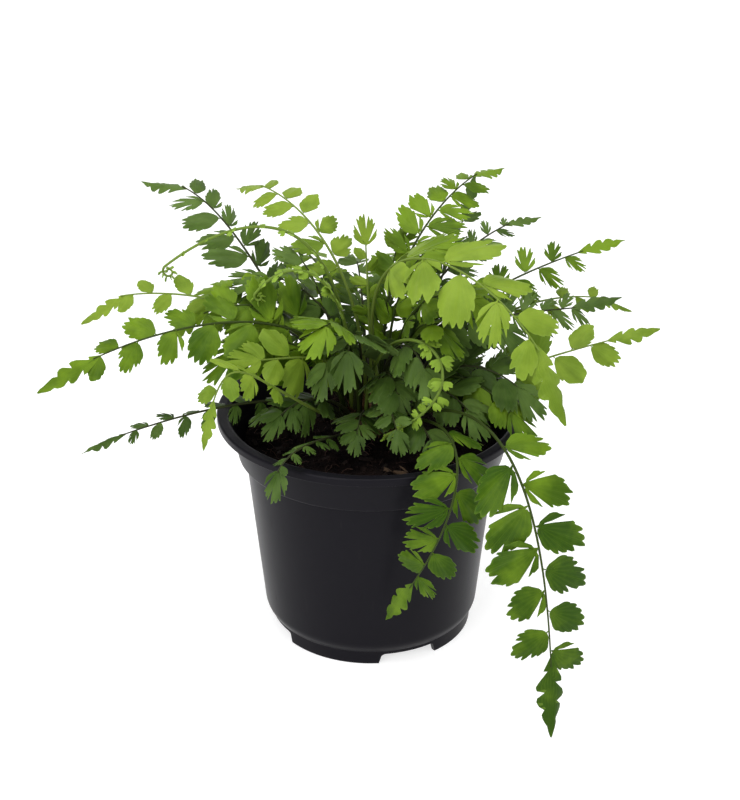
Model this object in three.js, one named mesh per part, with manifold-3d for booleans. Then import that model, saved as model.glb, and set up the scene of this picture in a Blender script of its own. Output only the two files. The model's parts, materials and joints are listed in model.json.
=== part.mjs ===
// Potted fern: a black nursery pot, potting mix, a scaly crown and once-divided fronds.
// Millimetres, +Z up. The origin is the middle of the pot's underside, on the surface it stands on.
// Bearings are degrees seen from above: 0 is +X (right), 90 is +Y (back), 270 is the front.
import * as THREE from "three";
import { mergeVertices } from "three/addons/utils/BufferGeometryUtils.js";
import Module from "manifold-3d";

const wasm = await Module();
wasm.setup();

// ---- driving dimensions -------------------------------------------------------------------
const POT = {
  rimRadius: 70, height: 108, wall: 1.5, brimDrop: 3.5, brimWidth: 4.5, brimHollow: 1,
  collarTop: 64.6, collarFoot: 60.8, collarFootHeight: 87,
  wallTop: 57.6, wallFoot: 50, stepHeight: 9, footRadius: 47.2, footWidth: 2.4,
  floor: 7, hub: 26, facets: 32,
};
const EDGE = 1.2; // how far a moulded corner is cut back
const FOOT_ARCH = { count: 4, width: 28, height: 5, corner: 3, depth: 8, first: 292 };
const DRAIN = { count: 6, radius: 4.5, ring: 34, facets: 10, first: 30 };
const GAP = 0.3; // clearance between neighbours that touch
const SOIL = { middle: 95.5, edge: 93.5, shoulder: 30, dip: 0.6, facets: 30 };
const CROWN = { x: 0, y: 8, radius: 12.5, height: 11, rings: 5, facets: 14, lobes: 3, lumps: 0.07, fade: 3 };
const WITHERED = { length: 13, width: 7, thickness: 1.2, x: 18, y: -46, turn: 165 };
const SEAT = { first: 10, gap: 0.6, lift: 1.6 }; // where a stalk starts, just clear of the crown
// Rings of seats on the crown: low, high and between. Those of an even ring are spaced evenly,
// and on the other each stalk starts at its own bearing.
const SEAT_RINGS = [{ tilt: 12, even: true }, { tilt: 50, even: true }, { tilt: 31, even: false }];
const STALK = { radius: 1, sides: 3, pitch: 14, fewest: 6 }; // the pitch is the length of one facet
const BLADE = { thickness: 0.6, root: 0.2, shoulder: 0.6, skew: 0.05 };
// How leaflets change along a frond. Shares run from 0 at the lowest leaflet to 1 at the tip,
// angles are degrees, and each "vary" is the whole spread of a scattered value.
const LEAFING = {
  first: 0.78, full: 0.25, shrink: 0.62, taper: 1.5, vary: 0.16,
  splay: 68, splayDrop: 26, splayVary: 14, lift: -8, liftVary: 22, droop: 0.16, droopVary: 0.1,
};
const TIP = { u: 0.98, length: 0.42, wide: 0.55, droop: 0.1 };
const LIFTS = [0, 13, -13, 26, -26, 39, -39]; // degrees a leaflet may turn to clear its neighbours
const MIN_FLOOR = 1; // nothing but the pot reaches lower than this
const TOUCH = 1e-6; // cubic millimetres below which two solids don't meet

const COLOURS = {
  pot: 0x1f1e22, soil: 0x1c1512, crown: 0x3a2a18, withered: 0x5a4630,
  mature: 0x3f6e26, dark: 0x2d5222, young: 0x86b02c, crozier: 0x8fb83c,
};

// Each path lists three Bezier points after the seat: bearing, reach from the crown, height.
// bare: share of the stalk with no leaflets. count: leaflets. leaf: longest leaflet.
// wide: its width over its length. roll: turn of the whole frond about its stalk, degrees.
const FRONDS = [
  { name: "frond_front_right_hanging", age: "mature", ring: 0,
    bare: 0.42, count: 14, leaf: 29, wide: 0.64, roll: 28,
    path: [[307, 104, 172], [302, 138, 98], [303, 141, 12]] },
  { name: "frond_front_hanging", age: "mature", ring: 0,
    bare: 0.36, count: 14, leaf: 23, wide: 0.66,
    path: [[306, 78, 145], [294, 116, 112], [276, 73, 38]] },
  { name: "frond_centre_bright", age: "young", ring: 1,
    bare: 0.33, count: 12, leaf: 31, wide: 0.62, roll: 22,
    path: [[318, -30, 215], [318, 85, 198], [318, 107, 140]] },
  { name: "frond_left_low", age: "mature", ring: 0,
    bare: 0.14, count: 17, leaf: 24, wide: 0.68, roll: -38,
    path: [[196, 5, 165], [196, 90, 165], [196, 145, 135]] },
  { name: "frond_left_long", age: "young", ring: 0,
    bare: 0.26, count: 13, leaf: 18, wide: 0.6, roll: -38,
    path: [[182, 15, 165], [182, 120, 172], [182, 128, 152]] },
  { name: "frond_left_flat", age: "dark", ring: 0,
    bare: 0.35, count: 14, leaf: 14, wide: 0.5, roll: -10,
    path: [[200, 30, 125], [200, 95, 116], [200, 132, 106]] },
  { name: "frond_upper_left", age: "dark", ring: 0,
    bare: 0.4, count: 16, leaf: 23, wide: 0.5, roll: -15,
    path: [[145, 62, 146], [145, 80, 198], [145, 128, 189]] },
  { name: "frond_left_crozier", age: "crozier", ring: 1,
    bare: 0.45, count: 7, leaf: 5, wide: 0.7,
    path: [[178, 10, 226], [178, 70, 190], [178, 92, 172]] },
  { name: "frond_upper_mid_left", age: "young", ring: 1,
    bare: 0.42, count: 13, leaf: 19, wide: 0.6, roll: -20,
    path: [[128, 5, 190], [128, 80, 195], [128, 103, 184]] },
  { name: "frond_front_left_young", age: "young", ring: 0,
    bare: 0.5, count: 8, leaf: 17, wide: 0.62, roll: -20,
    path: [[226, 81, 144], [226, 84, 173], [226, 101, 124]] },
  { name: "frond_front_left_short", age: "young", ring: 1,
    bare: 0.42, count: 7, leaf: 20, wide: 0.72, roll: -40,
    path: [[214, 10, 142], [214, 45, 138], [214, 68, 145]] },
  { name: "frond_back_right_tall", age: "mature", ring: 1,
    bare: 0.4, count: 17, leaf: 20, wide: 0.55, roll: 18,
    path: [[52, 5, 185], [52, 75, 200], [52, 100, 194]] },
  { name: "frond_back_right_upright", age: "dark", ring: 0,
    bare: 0.36, count: 12, leaf: 18, wide: 0.5, roll: 10,
    path: [[62, 60, 132], [62, 90, 150], [62, 106, 180]] },
  { name: "frond_right_thin", age: "dark", ring: 1,
    bare: 0.45, count: 14, leaf: 15, wide: 0.45, roll: 25,
    path: [[33, 25, 175], [33, 80, 181], [33, 92, 179]] },
  { name: "frond_right_grey", age: "mature", ring: 1,
    bare: 0.45, count: 11, leaf: 18, wide: 0.6, roll: 35,
    path: [[20, 19, 152], [20, 95, 166], [20, 122, 170]] },
  { name: "frond_right_dark", age: "dark", ring: 0,
    bare: 0.35, count: 17, leaf: 20, wide: 0.5, roll: 35,
    path: [[8, 35, 163], [8, 80, 141], [8, 110, 151]] },
  { name: "frond_right_back_young", age: "young", ring: 0,
    bare: 0.5, count: 9, leaf: 13, wide: 0.6, roll: 30,
    path: [[17, 40, 150], [17, 100, 156], [17, 127, 138]] },
  { name: "frond_right_light", age: "young", ring: 0,
    bare: 0.42, count: 8, leaf: 20, wide: 0.66, roll: 40,
    path: [[355, 54, 126], [355, 105, 141], [355, 123, 147]] },
  { name: "frond_right_short", age: "dark", ring: 0,
    bare: 0.4, count: 8, leaf: 24, wide: 0.66, roll: 35,
    path: [[334, 30, 142], [334, 62, 142], [334, 80, 122]] },
  { name: "frond_right_front_broad", age: "dark", ring: 1,
    bare: 0.35, count: 9, leaf: 24, wide: 0.64, roll: 30,
    path: [[342, 15, 152], [342, 50, 165], [342, 70, 146]] },
  { name: "frond_centre_crozier", age: "crozier", ring: 1,
    bare: 0.5, count: 8, leaf: 9, wide: 0.66,
    path: [[270, 26, 185], [314, 92, 150], [279, 46, 113]] },
  { name: "frond_front_small", age: "dark", ring: 0,
    bare: 0.25, count: 13, leaf: 10, wide: 0.6,
    path: [[244, 38, 104], [244, 88, 130], [244, 96, 104]] },
  { name: "frond_left_short", age: "dark", ring: 0,
    bare: 0.45, count: 6, leaf: 15, wide: 0.75,
    path: [[208, 20, 116], [208, 42, 122], [208, 58, 112]] },
  { name: "frond_centre_left_young", age: "crozier", ring: 1,
    bare: 0.45, count: 8, leaf: 9, wide: 0.6,
    path: [[190, 5, 168], [190, 32, 188], [190, 52, 164]] },
  { name: "frond_centre_broad", age: "dark", ring: 1,
    bare: 0.4, count: 8, leaf: 26, wide: 0.72,
    path: [[256, 8, 150], [256, 36, 166], [256, 46, 142]] },
  { name: "frond_front_low", age: "dark", ring: 0,
    bare: 0.35, count: 9, leaf: 14, wide: 0.62,
    path: [[282, 18, 124], [282, 45, 128], [282, 60, 114]] },
  { name: "frond_front_right_low", age: "dark", ring: 0,
    bare: 0.4, count: 9, leaf: 21, wide: 0.6, roll: 20,
    path: [[316, 18, 130], [316, 50, 134], [316, 66, 117]] },
  { name: "frond_top_young", age: "young", ring: 1,
    bare: 0.5, count: 7, leaf: 10, wide: 0.62,
    path: [[100, 5, 150], [100, 12, 175], [100, 16, 190]] },
  { name: "frond_back_arching", age: "mature", ring: 0,
    bare: 0.35, count: 15, leaf: 20, wide: 0.6,
    path: [[78, 30, 158], [78, 82, 162], [78, 118, 128]] },
  { name: "frond_back_long", age: "dark", ring: 0,
    bare: 0.35, count: 15, leaf: 19, wide: 0.55,
    path: [[96, 30, 140], [96, 80, 150], [96, 124, 108]] },
  { name: "frond_back_left_arching", age: "mature", ring: 0,
    bare: 0.35, count: 15, leaf: 20, wide: 0.6,
    path: [[113, 28, 155], [113, 85, 165], [113, 122, 135]] },
  { name: "frond_back_left_low", age: "dark", ring: 0,
    bare: 0.38, count: 13, leaf: 18, wide: 0.6,
    path: [[134, 35, 128], [134, 85, 136], [134, 115, 106]] },
  { name: "frond_left_back_short", age: "mature", ring: 1,
    bare: 0.4, count: 10, leaf: 19, wide: 0.62, roll: -20,
    path: [[163, 20, 150], [163, 58, 165], [163, 84, 150]] },
  { name: "frond_back_right_low", age: "mature", ring: 0,
    bare: 0.38, count: 13, leaf: 18, wide: 0.6,
    path: [[42, 28, 146], [42, 75, 148], [42, 104, 118]] },
  { name: "frond_front_right_broad", age: "dark", ring: 1,
    bare: 0.4, count: 8, leaf: 22, wide: 0.66, roll: 15,
    path: [[298, 12, 148], [298, 40, 160], [298, 56, 136]] },
  { name: "frond_centre_right_dark", age: "mature", ring: 1,
    bare: 0.4, count: 9, leaf: 22, wide: 0.62, roll: 25,
    path: [[328, 10, 165], [328, 42, 180], [328, 62, 162]] },
  { name: "frond_centre_upright", age: "mature", ring: 1,
    bare: 0.28, count: 10, leaf: 18, wide: 0.6, roll: 20,
    path: [[28, 5, 155], [28, 24, 182], [28, 42, 180]] },
  { name: "frond_centre_left_dark", age: "dark", ring: 1,
    bare: 0.4, count: 9, leaf: 20, wide: 0.62, roll: -25,
    path: [[152, 14, 150], [162, 38, 172], [166, 60, 160]] },
  { name: "frond_left_middle", age: "mature", ring: 0,
    bare: 0.3, count: 11, leaf: 22, wide: 0.66, roll: -35,
    path: [[187, 10, 150], [187, 52, 172], [187, 88, 148]] },
  { name: "frond_front_left_inner", age: "dark", ring: 1,
    bare: 0.42, count: 7, leaf: 22, wide: 0.68,
    path: [[238, 8, 142], [238, 28, 154], [238, 42, 132]] },
  { name: "frond_front_inner", age: "dark", ring: 1,
    bare: 0.42, count: 7, leaf: 21, wide: 0.68,
    path: [[288, 10, 132], [288, 30, 142], [288, 42, 122]] },
  { name: "frond_left_broad", age: "mature", ring: 2,
    bare: 0.32, count: 8, leaf: 25, wide: 0.66, roll: -30,
    path: [[203, 20, 138], [203, 46, 158], [203, 74, 138]] },
  { name: "frond_left_inner_low", age: "dark", ring: 2,
    bare: 0.42, count: 7, leaf: 19, wide: 0.66, roll: -15,
    path: [[223, 22, 118], [223, 44, 128], [223, 60, 114]] },
  { name: "frond_centre_left_broad", age: "mature", ring: 2,
    bare: 0.4, count: 7, leaf: 26, wide: 0.68, roll: -15,
    path: [[245, 16, 150], [245, 34, 170], [245, 56, 160]] },
  { name: "frond_centre_front_broad", age: "mature", ring: 2,
    bare: 0.4, count: 7, leaf: 25, wide: 0.68,
    path: [[312, 20, 148], [312, 34, 168], [312, 52, 154]] },
  { name: "frond_front_right_dense", age: "dark", ring: 2,
    bare: 0.35, count: 9, leaf: 20, wide: 0.62, roll: 10,
    path: [[296, 20, 118], [296, 44, 126], [296, 66, 110]] },
  { name: "frond_front_right_outer", age: "mature", ring: 2,
    bare: 0.38, count: 8, leaf: 22, wide: 0.64, roll: 20,
    path: [[329, 22, 134], [329, 56, 140], [329, 80, 112]] },
  { name: "frond_right_low", age: "dark", ring: 2,
    bare: 0.36, count: 8, leaf: 20, wide: 0.62, roll: 20,
    path: [[350, 24, 120], [350, 50, 130], [350, 74, 118]] },
  { name: "frond_right_inner", age: "mature", ring: 2,
    bare: 0.4, count: 8, leaf: 20, wide: 0.62, roll: 25,
    path: [[6, 19, 141], [6, 36, 170], [6, 58, 162]] },
  { name: "frond_centre_high_right", age: "mature", ring: 2,
    bare: 0.24, count: 10, leaf: 18, wide: 0.6, roll: 10,
    path: [[66, 14, 150], [66, 26, 178], [66, 40, 178]] },
  { name: "frond_back_inner", age: "dark", ring: 2,
    bare: 0.24, count: 10, leaf: 20, wide: 0.62,
    path: [[98, 18, 140], [98, 36, 162], [98, 56, 158]] },
  { name: "frond_centre_high_left", age: "dark", ring: 2,
    bare: 0.24, count: 10, leaf: 18, wide: 0.6, roll: -10,
    path: [[146, 22, 145], [146, 32, 172], [146, 48, 172]] },
  { name: "frond_front_centre_low", age: "dark", ring: 2,
    bare: 0.4, count: 7, leaf: 16, wide: 0.64,
    path: [[262, 18, 114], [262, 34, 120], [262, 48, 109]] },
];

// ---- helpers ------------------------------------------------------------------------------
const rad = THREE.MathUtils.degToRad;
const UP = new THREE.Vector3(0, 0, 1);

function material(colour, roughness) {
  return new THREE.MeshStandardMaterial({ color: colour, roughness, metalness: 0 });
}

function solidFrom(geometry) {
  const bare = geometry.index ? geometry.toNonIndexed() : geometry.clone();
  bare.deleteAttribute("normal");
  bare.deleteAttribute("uv");
  const merged = mergeVertices(bare, 1e-4);
  return new wasm.Manifold(new wasm.Mesh({
    numProp: 3,
    vertProperties: merged.attributes.position.array,
    triVerts: merged.index.array,
  }));
}

function geometryFrom(solid) {
  const mesh = solid.getMesh();
  const geometry = new THREE.BufferGeometry();
  geometry.setAttribute("position", new THREE.BufferAttribute(mesh.vertProperties, 3));
  geometry.setIndex(new THREE.BufferAttribute(mesh.triVerts, 1));
  geometry.computeVertexNormals();
  return geometry;
}

function named(name, geometry, mat) {
  const mesh = new THREE.Mesh(geometry, mat);
  mesh.name = name;
  return mesh;
}

// A number from -0.5 to 0.5 that is the same for the same pair of counts.
function scatter(a, b) {
  const wave = Math.sin(a * 12.9898 + b * 78.233) * 43758.5453;
  return wave - Math.floor(wave) - 0.5;
}

// A lathe about Z from [radius, height] pairs.
function turned(profile, facets) {
  const points = profile.map(([radius, height]) => new THREE.Vector2(radius, height));
  return new THREE.LatheGeometry(points, facets).rotateX(Math.PI / 2);
}

// ---- pot ----------------------------------------------------------------------------------
function insideRadius(height) {
  const share = (height - POT.stepHeight) / (POT.collarFootHeight - POT.stepHeight);
  return POT.wallFoot + (POT.wallTop - POT.wallFoot) * share - POT.wall;
}

function potShell() {
  const { rimRadius, height, wall, brimDrop, brimWidth, brimHollow, collarTop, collarFoot } = POT;
  const { collarFootHeight, wallTop, wallFoot, stepHeight, footRadius, footWidth, floor, hub } = POT;
  const brimLow = height - brimDrop;
  const inner = rimRadius - brimWidth;
  const profile = [
    [0, 0], [hub, 0], [hub, floor - wall], [footRadius - footWidth, floor - wall],
    [footRadius - footWidth, 0], [footRadius, 0], [footRadius, floor],
    [footRadius + EDGE, floor + EDGE], [wallFoot, stepHeight + EDGE],
    [wallTop, collarFootHeight], [collarFoot, collarFootHeight + EDGE / 2],
    [collarTop, brimLow + brimHollow], [rimRadius - EDGE, brimLow + brimHollow],
    [rimRadius - EDGE, brimLow], [rimRadius, brimLow],
    [rimRadius - EDGE / 3, height - EDGE / 2], [rimRadius - EDGE, height], [inner, height],
    [inner - EDGE, height - EDGE], [collarFoot - wall, collarFootHeight + wall],
    [insideRadius(collarFootHeight), collarFootHeight - EDGE / 2],
    [insideRadius(stepHeight), stepHeight], [insideRadius(stepHeight) - wall, floor],
    [hub - wall, floor], [hub - wall, wall], [0, wall],
  ];
  return solidFrom(turned(profile, POT.facets));
}

function archCutter(bearing) {
  const { width, height, corner, depth } = FOOT_ARCH;
  const half = width / 2;
  const outline = new THREE.Shape();
  outline.moveTo(-half, -1);
  outline.lineTo(-half, height - corner);
  outline.absarc(-half + corner, height - corner, corner, Math.PI, Math.PI / 2, true);
  outline.absarc(half - corner, height - corner, corner, Math.PI / 2, 0, true);
  outline.lineTo(half, -1);
  const cutter = new THREE.ExtrudeGeometry(outline, { depth, bevelEnabled: false, curveSegments: 3 });
  cutter.rotateX(Math.PI / 2).translate(0, depth - 3 - POT.footRadius, 0);
  return solidFrom(cutter.rotateZ(rad(bearing - 270)));
}

function drainCutter(bearing) {
  const hole = new THREE.CylinderGeometry(DRAIN.radius, DRAIN.radius, 2 * POT.floor, DRAIN.facets);
  hole.rotateX(Math.PI / 2).translate(DRAIN.ring, 0, POT.floor);
  return solidFrom(hole.rotateZ(rad(bearing)));
}

function pot() {
  let shell = potShell();
  for (let i = 0; i < FOOT_ARCH.count; i++) {
    shell = shell.subtract(archCutter(FOOT_ARCH.first + (i * 360) / FOOT_ARCH.count));
  }
  for (let i = 0; i < DRAIN.count; i++) {
    shell = shell.subtract(drainCutter(DRAIN.first + (i * 360) / DRAIN.count));
  }
  return named("pot", geometryFrom(shell), material(COLOURS.pot, 0.42));
}

// ---- potting mix, crown and a withered leaflet ----------------------------------------------
function pottingMix() {
  const foot = POT.floor + GAP;
  const well = POT.hub - POT.wall - GAP; // the mix fills the low middle of the pot's floor
  const low = POT.stepHeight + 1;
  const brink = POT.collarFootHeight - EDGE / 2;
  const edgeRadius = insideRadius(POT.collarFootHeight) + EDGE;
  const profile = [
    [0, POT.wall + GAP], [well, POT.wall + GAP], [well, foot],
    [insideRadius(low) - 2 * EDGE, foot], [insideRadius(low) - GAP, low + 1],
    [insideRadius(brink) - GAP, brink], [edgeRadius, brink + 2 * EDGE], [edgeRadius, SOIL.edge],
    [SOIL.shoulder, SOIL.middle - SOIL.dip], [0, SOIL.middle],
  ];
  return named("potting_mix", turned(profile, SOIL.facets), material(COLOURS.soil, 0.95));
}

function crown() {
  const foot = SOIL.middle + GAP;
  const profile = [[0, foot]];
  for (let i = 0; i < CROWN.rings; i++) {
    const tilt = rad((i * 90) / CROWN.rings);
    profile.push([CROWN.radius * Math.cos(tilt), foot + CROWN.height * Math.sin(tilt)]);
  }
  profile.push([0, foot + CROWN.height]);
  const dome = turned(profile, CROWN.facets);
  const position = dome.attributes.position;
  for (let i = 0; i < position.count; i++) {
    const [x, y, z] = [position.getX(i), position.getY(i), position.getZ(i)];
    const wave = 1 + Math.sin(CROWN.lobes * Math.atan2(y, x) + z);
    const dent = 1 - CROWN.lumps * wave * Math.min(1, (z - foot) / CROWN.fade);
    position.setXYZ(i, x * dent, y * dent, z);
  }
  dome.translate(CROWN.x, CROWN.y, 0);
  return named("crown", dome, material(COLOURS.crown, 0.85));
}

function witheredLeaflet() {
  const outline = leafOutline(WITHERED.length, WITHERED.width);
  const blade = new THREE.ExtrudeGeometry(outline, { depth: WITHERED.thickness, bevelEnabled: false });
  blade.rotateZ(rad(WITHERED.turn)).translate(WITHERED.x, WITHERED.y, SOIL.middle + GAP);
  return named("withered_leaflet", blade, material(COLOURS.withered, 0.9));
}

// ---- fronds ---------------------------------------------------------------------------------
function around(bearing, reach, height) {
  const angle = rad(bearing);
  return new THREE.Vector3(CROWN.x + reach * Math.cos(angle), CROWN.y + reach * Math.sin(angle), height);
}

// Seats run round the crown in the order of the fronds' bearings, so that stalks don't cross.
function seats() {
  const found = new Map();
  SEAT_RINGS.forEach((ring, level) => {
    const members = FRONDS.filter((spec) => spec.ring === level);
    members.sort((a, b) => a.path[0][0] - b.path[0][0]);
    const tilt = rad(ring.tilt);
    const reach = (CROWN.radius + STALK.radius) * Math.cos(tilt) + SEAT.gap;
    const height = SOIL.middle + SEAT.lift + (CROWN.height + STALK.radius) * Math.sin(tilt);
    members.forEach((spec, i) => {
      const bearing = ring.even ? (i * 360) / members.length + SEAT.first : spec.path[0][0];
      found.set(spec.name, around(bearing, reach, height));
    });
  });
  return found;
}

// A kite with its stem end at the origin and its tip on +X.
function leafOutline(length, width) {
  return new THREE.Shape([
    new THREE.Vector2(-BLADE.root, 0),
    new THREE.Vector2(length * (BLADE.shoulder + BLADE.skew), -width / 2),
    new THREE.Vector2(length, 0),
    new THREE.Vector2(length * (BLADE.shoulder - BLADE.skew), width / 2),
  ]);
}

function stalkSteps(curve) {
  return Math.max(STALK.fewest, Math.round(curve.getLength() / STALK.pitch));
}

// A point in the middle of the faceted stalk, at a share u of its length.
function stalkMiddle(curve, u) {
  const steps = stalkSteps(curve);
  const facet = Math.min(steps - 1, Math.floor(u * steps));
  const [near, far] = [curve.getPointAt(facet / steps), curve.getPointAt((facet + 1) / steps)];
  return near.lerp(far, u * steps - facet);
}

// The stalk's direction, the way its leaflets face and the side they spread to, at a share u.
function frameAt(curve, u, roll) {
  const along = curve.getTangentAt(u);
  const here = stalkMiddle(curve, u);
  const outward = new THREE.Vector3(here.x, here.y, 0).normalize().multiplyScalar(Math.max(0, -along.z));
  const face = UP.clone().add(outward);
  face.addScaledVector(along, -face.dot(along)).normalize().applyAxisAngle(along, rad(roll));
  const side = new THREE.Vector3().crossVectors(along, face);
  return { here, along, face, side };
}

// Leaflet sizes grow over the first part of the leafy stretch, then shrink to the tip.
function leafSize(share) {
  const grown = LEAFING.first + (1 - LEAFING.first) * Math.min(1, share / LEAFING.full);
  return grown * (1 - LEAFING.shrink * Math.pow(share, LEAFING.taper));
}

function leaflets(spec, index) {
  const list = [];
  for (let k = 0; k < spec.count; k++) {
    const share = k / spec.count;
    const size = leafSize(share) * (1 + LEAFING.vary * scatter(k, index));
    list.push({
      u: spec.bare + (1 - spec.bare) * share,
      hand: k % 2 ? 1 : -1,
      length: spec.leaf * size,
      width: spec.leaf * spec.wide * size,
      splay: LEAFING.splay - LEAFING.splayDrop * share + LEAFING.splayVary * scatter(k + 31, index),
      lift: LEAFING.lift + LEAFING.liftVary * scatter(k + 57, index),
      droop: LEAFING.droop + LEAFING.droopVary * scatter(k + 83, index),
    });
  }
  const tip = spec.leaf * TIP.length;
  list.push({ u: TIP.u, hand: 1, length: tip, width: tip * TIP.wide, splay: 0, lift: 0, droop: TIP.droop });
  return list;
}

function blade(curve, spec, leaf, lift, spare) {
  const { here, along, face, side } = frameAt(curve, leaf.u, spec.roll ?? 0);
  const turn = rad(leaf.lift + lift);
  const splay = rad(leaf.splay);
  const spread = side.clone().multiplyScalar(leaf.hand * Math.cos(turn));
  spread.addScaledVector(face, Math.sin(turn));
  const top = face.clone().multiplyScalar(Math.cos(turn));
  top.addScaledVector(side, -leaf.hand * Math.sin(turn));
  const axis = along.clone().multiplyScalar(Math.cos(splay)).addScaledVector(spread, Math.sin(splay));
  const across = new THREE.Vector3().crossVectors(top, axis);
  const thickness = BLADE.thickness + 2 * spare;
  const outline = leafOutline(leaf.length + spare, leaf.width + 2 * spare);
  const geometry = new THREE.ExtrudeGeometry(outline, { depth: thickness, bevelEnabled: false });
  geometry.translate(0, 0, -thickness / 2);
  const position = geometry.attributes.position;
  for (let i = 0; i < position.count; i++) {
    const run = position.getX(i) / leaf.length;
    position.setZ(i, position.getZ(i) - leaf.droop * leaf.length * run * run);
  }
  const place = new THREE.Matrix4().makeBasis(axis, across, top).setPosition(here);
  return solidFrom(geometry.applyMatrix4(place));
}

function stalk(curve, spare) {
  const ring = new THREE.Shape();
  const radius = STALK.radius + spare;
  for (let i = 0; i < STALK.sides; i++) {
    const angle = (i * 2 * Math.PI) / STALK.sides;
    const point = [radius * Math.cos(angle), radius * Math.sin(angle)];
    if (i) ring.lineTo(...point);
    else ring.moveTo(...point);
  }
  const shape = { steps: stalkSteps(curve), extrudePath: curve, bevelEnabled: false };
  return solidFrom(new THREE.ExtrudeGeometry(ring, shape));
}

function boxesMeet(a, b) {
  return [0, 1, 2].every((i) => a.min[i] < b.max[i] && b.min[i] < a.max[i]);
}

function meets(solid, others) {
  const box = solid.boundingBox();
  return others.some((other) => boxesMeet(box, other.box) && solid.intersect(other.solid).volume() > TOUCH);
}

function fronds() {
  const seat = seats();
  const placed = [potBlock()];
  const built = FRONDS.map((spec) => {
    const curve = new THREE.CubicBezierCurve3(seat.get(spec.name), ...spec.path.map((p) => around(...p)));
    const solid = stalk(curve, 0);
    placed.push({ owner: spec.name, solid, box: solid.boundingBox() });
    return { spec, curve, solid };
  });
  return built.map(({ spec, curve, solid }, index) => {
    let whole = solid;
    const others = placed.filter((piece) => piece.owner !== spec.name);
    for (const leaf of leaflets(spec, index)) {
      const lift = LIFTS.find((angle) => {
        const tryout = blade(curve, spec, leaf, angle, GAP);
        return tryout.boundingBox().min[2] > MIN_FLOOR && !meets(tryout, others);
      });
      if (lift === undefined) continue;
      const leaflet = blade(curve, spec, leaf, lift, 0);
      whole = whole.add(leaflet);
      placed.push({ owner: spec.name, solid: leaflet, box: leaflet.boundingBox() });
    }
    const roughness = spec.age === "dark" ? 0.5 : 0.55;
    return named(spec.name, geometryFrom(whole), material(COLOURS[spec.age], roughness));
  });
}

// The pot with its mix as one plain block that leaflets keep clear of.
function potBlock() {
  const { footRadius, wallFoot, stepHeight, collarFoot, collarFootHeight, rimRadius, height } = POT;
  const [brim, top] = [rimRadius + GAP, height + GAP];
  const profile = [
    [0, 0], [footRadius, 0], [wallFoot + GAP, stepHeight], [collarFoot + GAP, collarFootHeight - GAP],
    [brim, height - POT.brimDrop], [brim, top], [rimRadius - POT.brimWidth - EDGE - GAP, top],
    [collarFoot, SOIL.edge + 1], [SOIL.shoulder, SOIL.middle + 1], [0, SOIL.middle + 1],
  ];
  const solid = solidFrom(turned(profile, POT.facets));
  return { owner: "pot", solid, box: solid.boundingBox() };
}

const fern = new THREE.Group();
fern.add(pot(), pottingMix(), crown(), witheredLeaflet(), ...fronds());

export default fern;
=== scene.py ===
import json
import math
from collections import namedtuple

import bmesh
import bpy
import numpy as np
from bpy.props import FloatProperty, FloatVectorProperty, IntProperty, PointerProperty
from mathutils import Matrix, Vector, noise

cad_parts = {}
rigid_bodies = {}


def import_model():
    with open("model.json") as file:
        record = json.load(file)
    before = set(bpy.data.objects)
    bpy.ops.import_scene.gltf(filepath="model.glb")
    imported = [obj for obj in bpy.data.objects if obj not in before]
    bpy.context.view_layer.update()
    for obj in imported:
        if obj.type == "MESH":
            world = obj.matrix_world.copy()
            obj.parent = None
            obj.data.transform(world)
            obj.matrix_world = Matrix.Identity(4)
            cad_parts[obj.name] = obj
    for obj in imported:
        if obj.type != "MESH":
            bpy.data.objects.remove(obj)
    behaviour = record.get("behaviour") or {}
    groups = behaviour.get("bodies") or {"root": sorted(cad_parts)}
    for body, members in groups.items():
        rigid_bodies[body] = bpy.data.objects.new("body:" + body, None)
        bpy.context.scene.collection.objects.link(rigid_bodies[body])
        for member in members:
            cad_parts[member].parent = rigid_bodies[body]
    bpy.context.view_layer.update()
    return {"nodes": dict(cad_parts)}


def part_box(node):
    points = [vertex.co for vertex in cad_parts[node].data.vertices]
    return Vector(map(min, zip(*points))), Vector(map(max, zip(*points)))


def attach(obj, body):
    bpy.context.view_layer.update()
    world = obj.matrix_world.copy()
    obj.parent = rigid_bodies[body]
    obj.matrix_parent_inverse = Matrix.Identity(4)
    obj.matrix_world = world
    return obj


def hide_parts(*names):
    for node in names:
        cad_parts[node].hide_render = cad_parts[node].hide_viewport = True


bl_info = {
    "name": "Potted fern",
    "version": (1, 0, 0),
    "blender": (4, 5, 0),
    "location": "3D View > Sidebar > Fern",
    "description": "Grows a fern with fan-shaped leaflets in a moulded nursery pot",
    "category": "Add Mesh",
}

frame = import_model()

# ---- sizes: millimetres and degrees, unless a name says otherwise ---------------------------
# Bearings are seen from above: 0 is +X (right), 90 is +Y (back), 270 is the front.
MM = 0.001
RIM_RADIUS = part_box("pot")[1].x / MM
POT_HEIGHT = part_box("pot")[1].z / MM
BRIM_DROP = 3.5
BRIM_WIDTH = 4.5
BRIM_HOLLOW = 1.0
COLLAR_TOP = 64.6
COLLAR_FOOT = 60.8
COLLAR_FOOT_HEIGHT = 87.0
WALL_TOP = 57.6
WALL_FOOT = 50.0
STEP_HEIGHT = 9.0
FOOT_RADIUS = 47.2
FOOT_WIDTH = 2.4
FLOOR = 7.0
HUB = 26.0
FOOT_ARCHES = 4
ARCH_WIDTH = 28.0
ARCH_HEIGHT = 5.0
ARCH_CORNER = 3.0
FIRST_ARCH = 292.0
DRAINS = 6
DRAIN_RADIUS = 4.5
DRAIN_RING = 34.0
FIRST_DRAIN = 30.0

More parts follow.
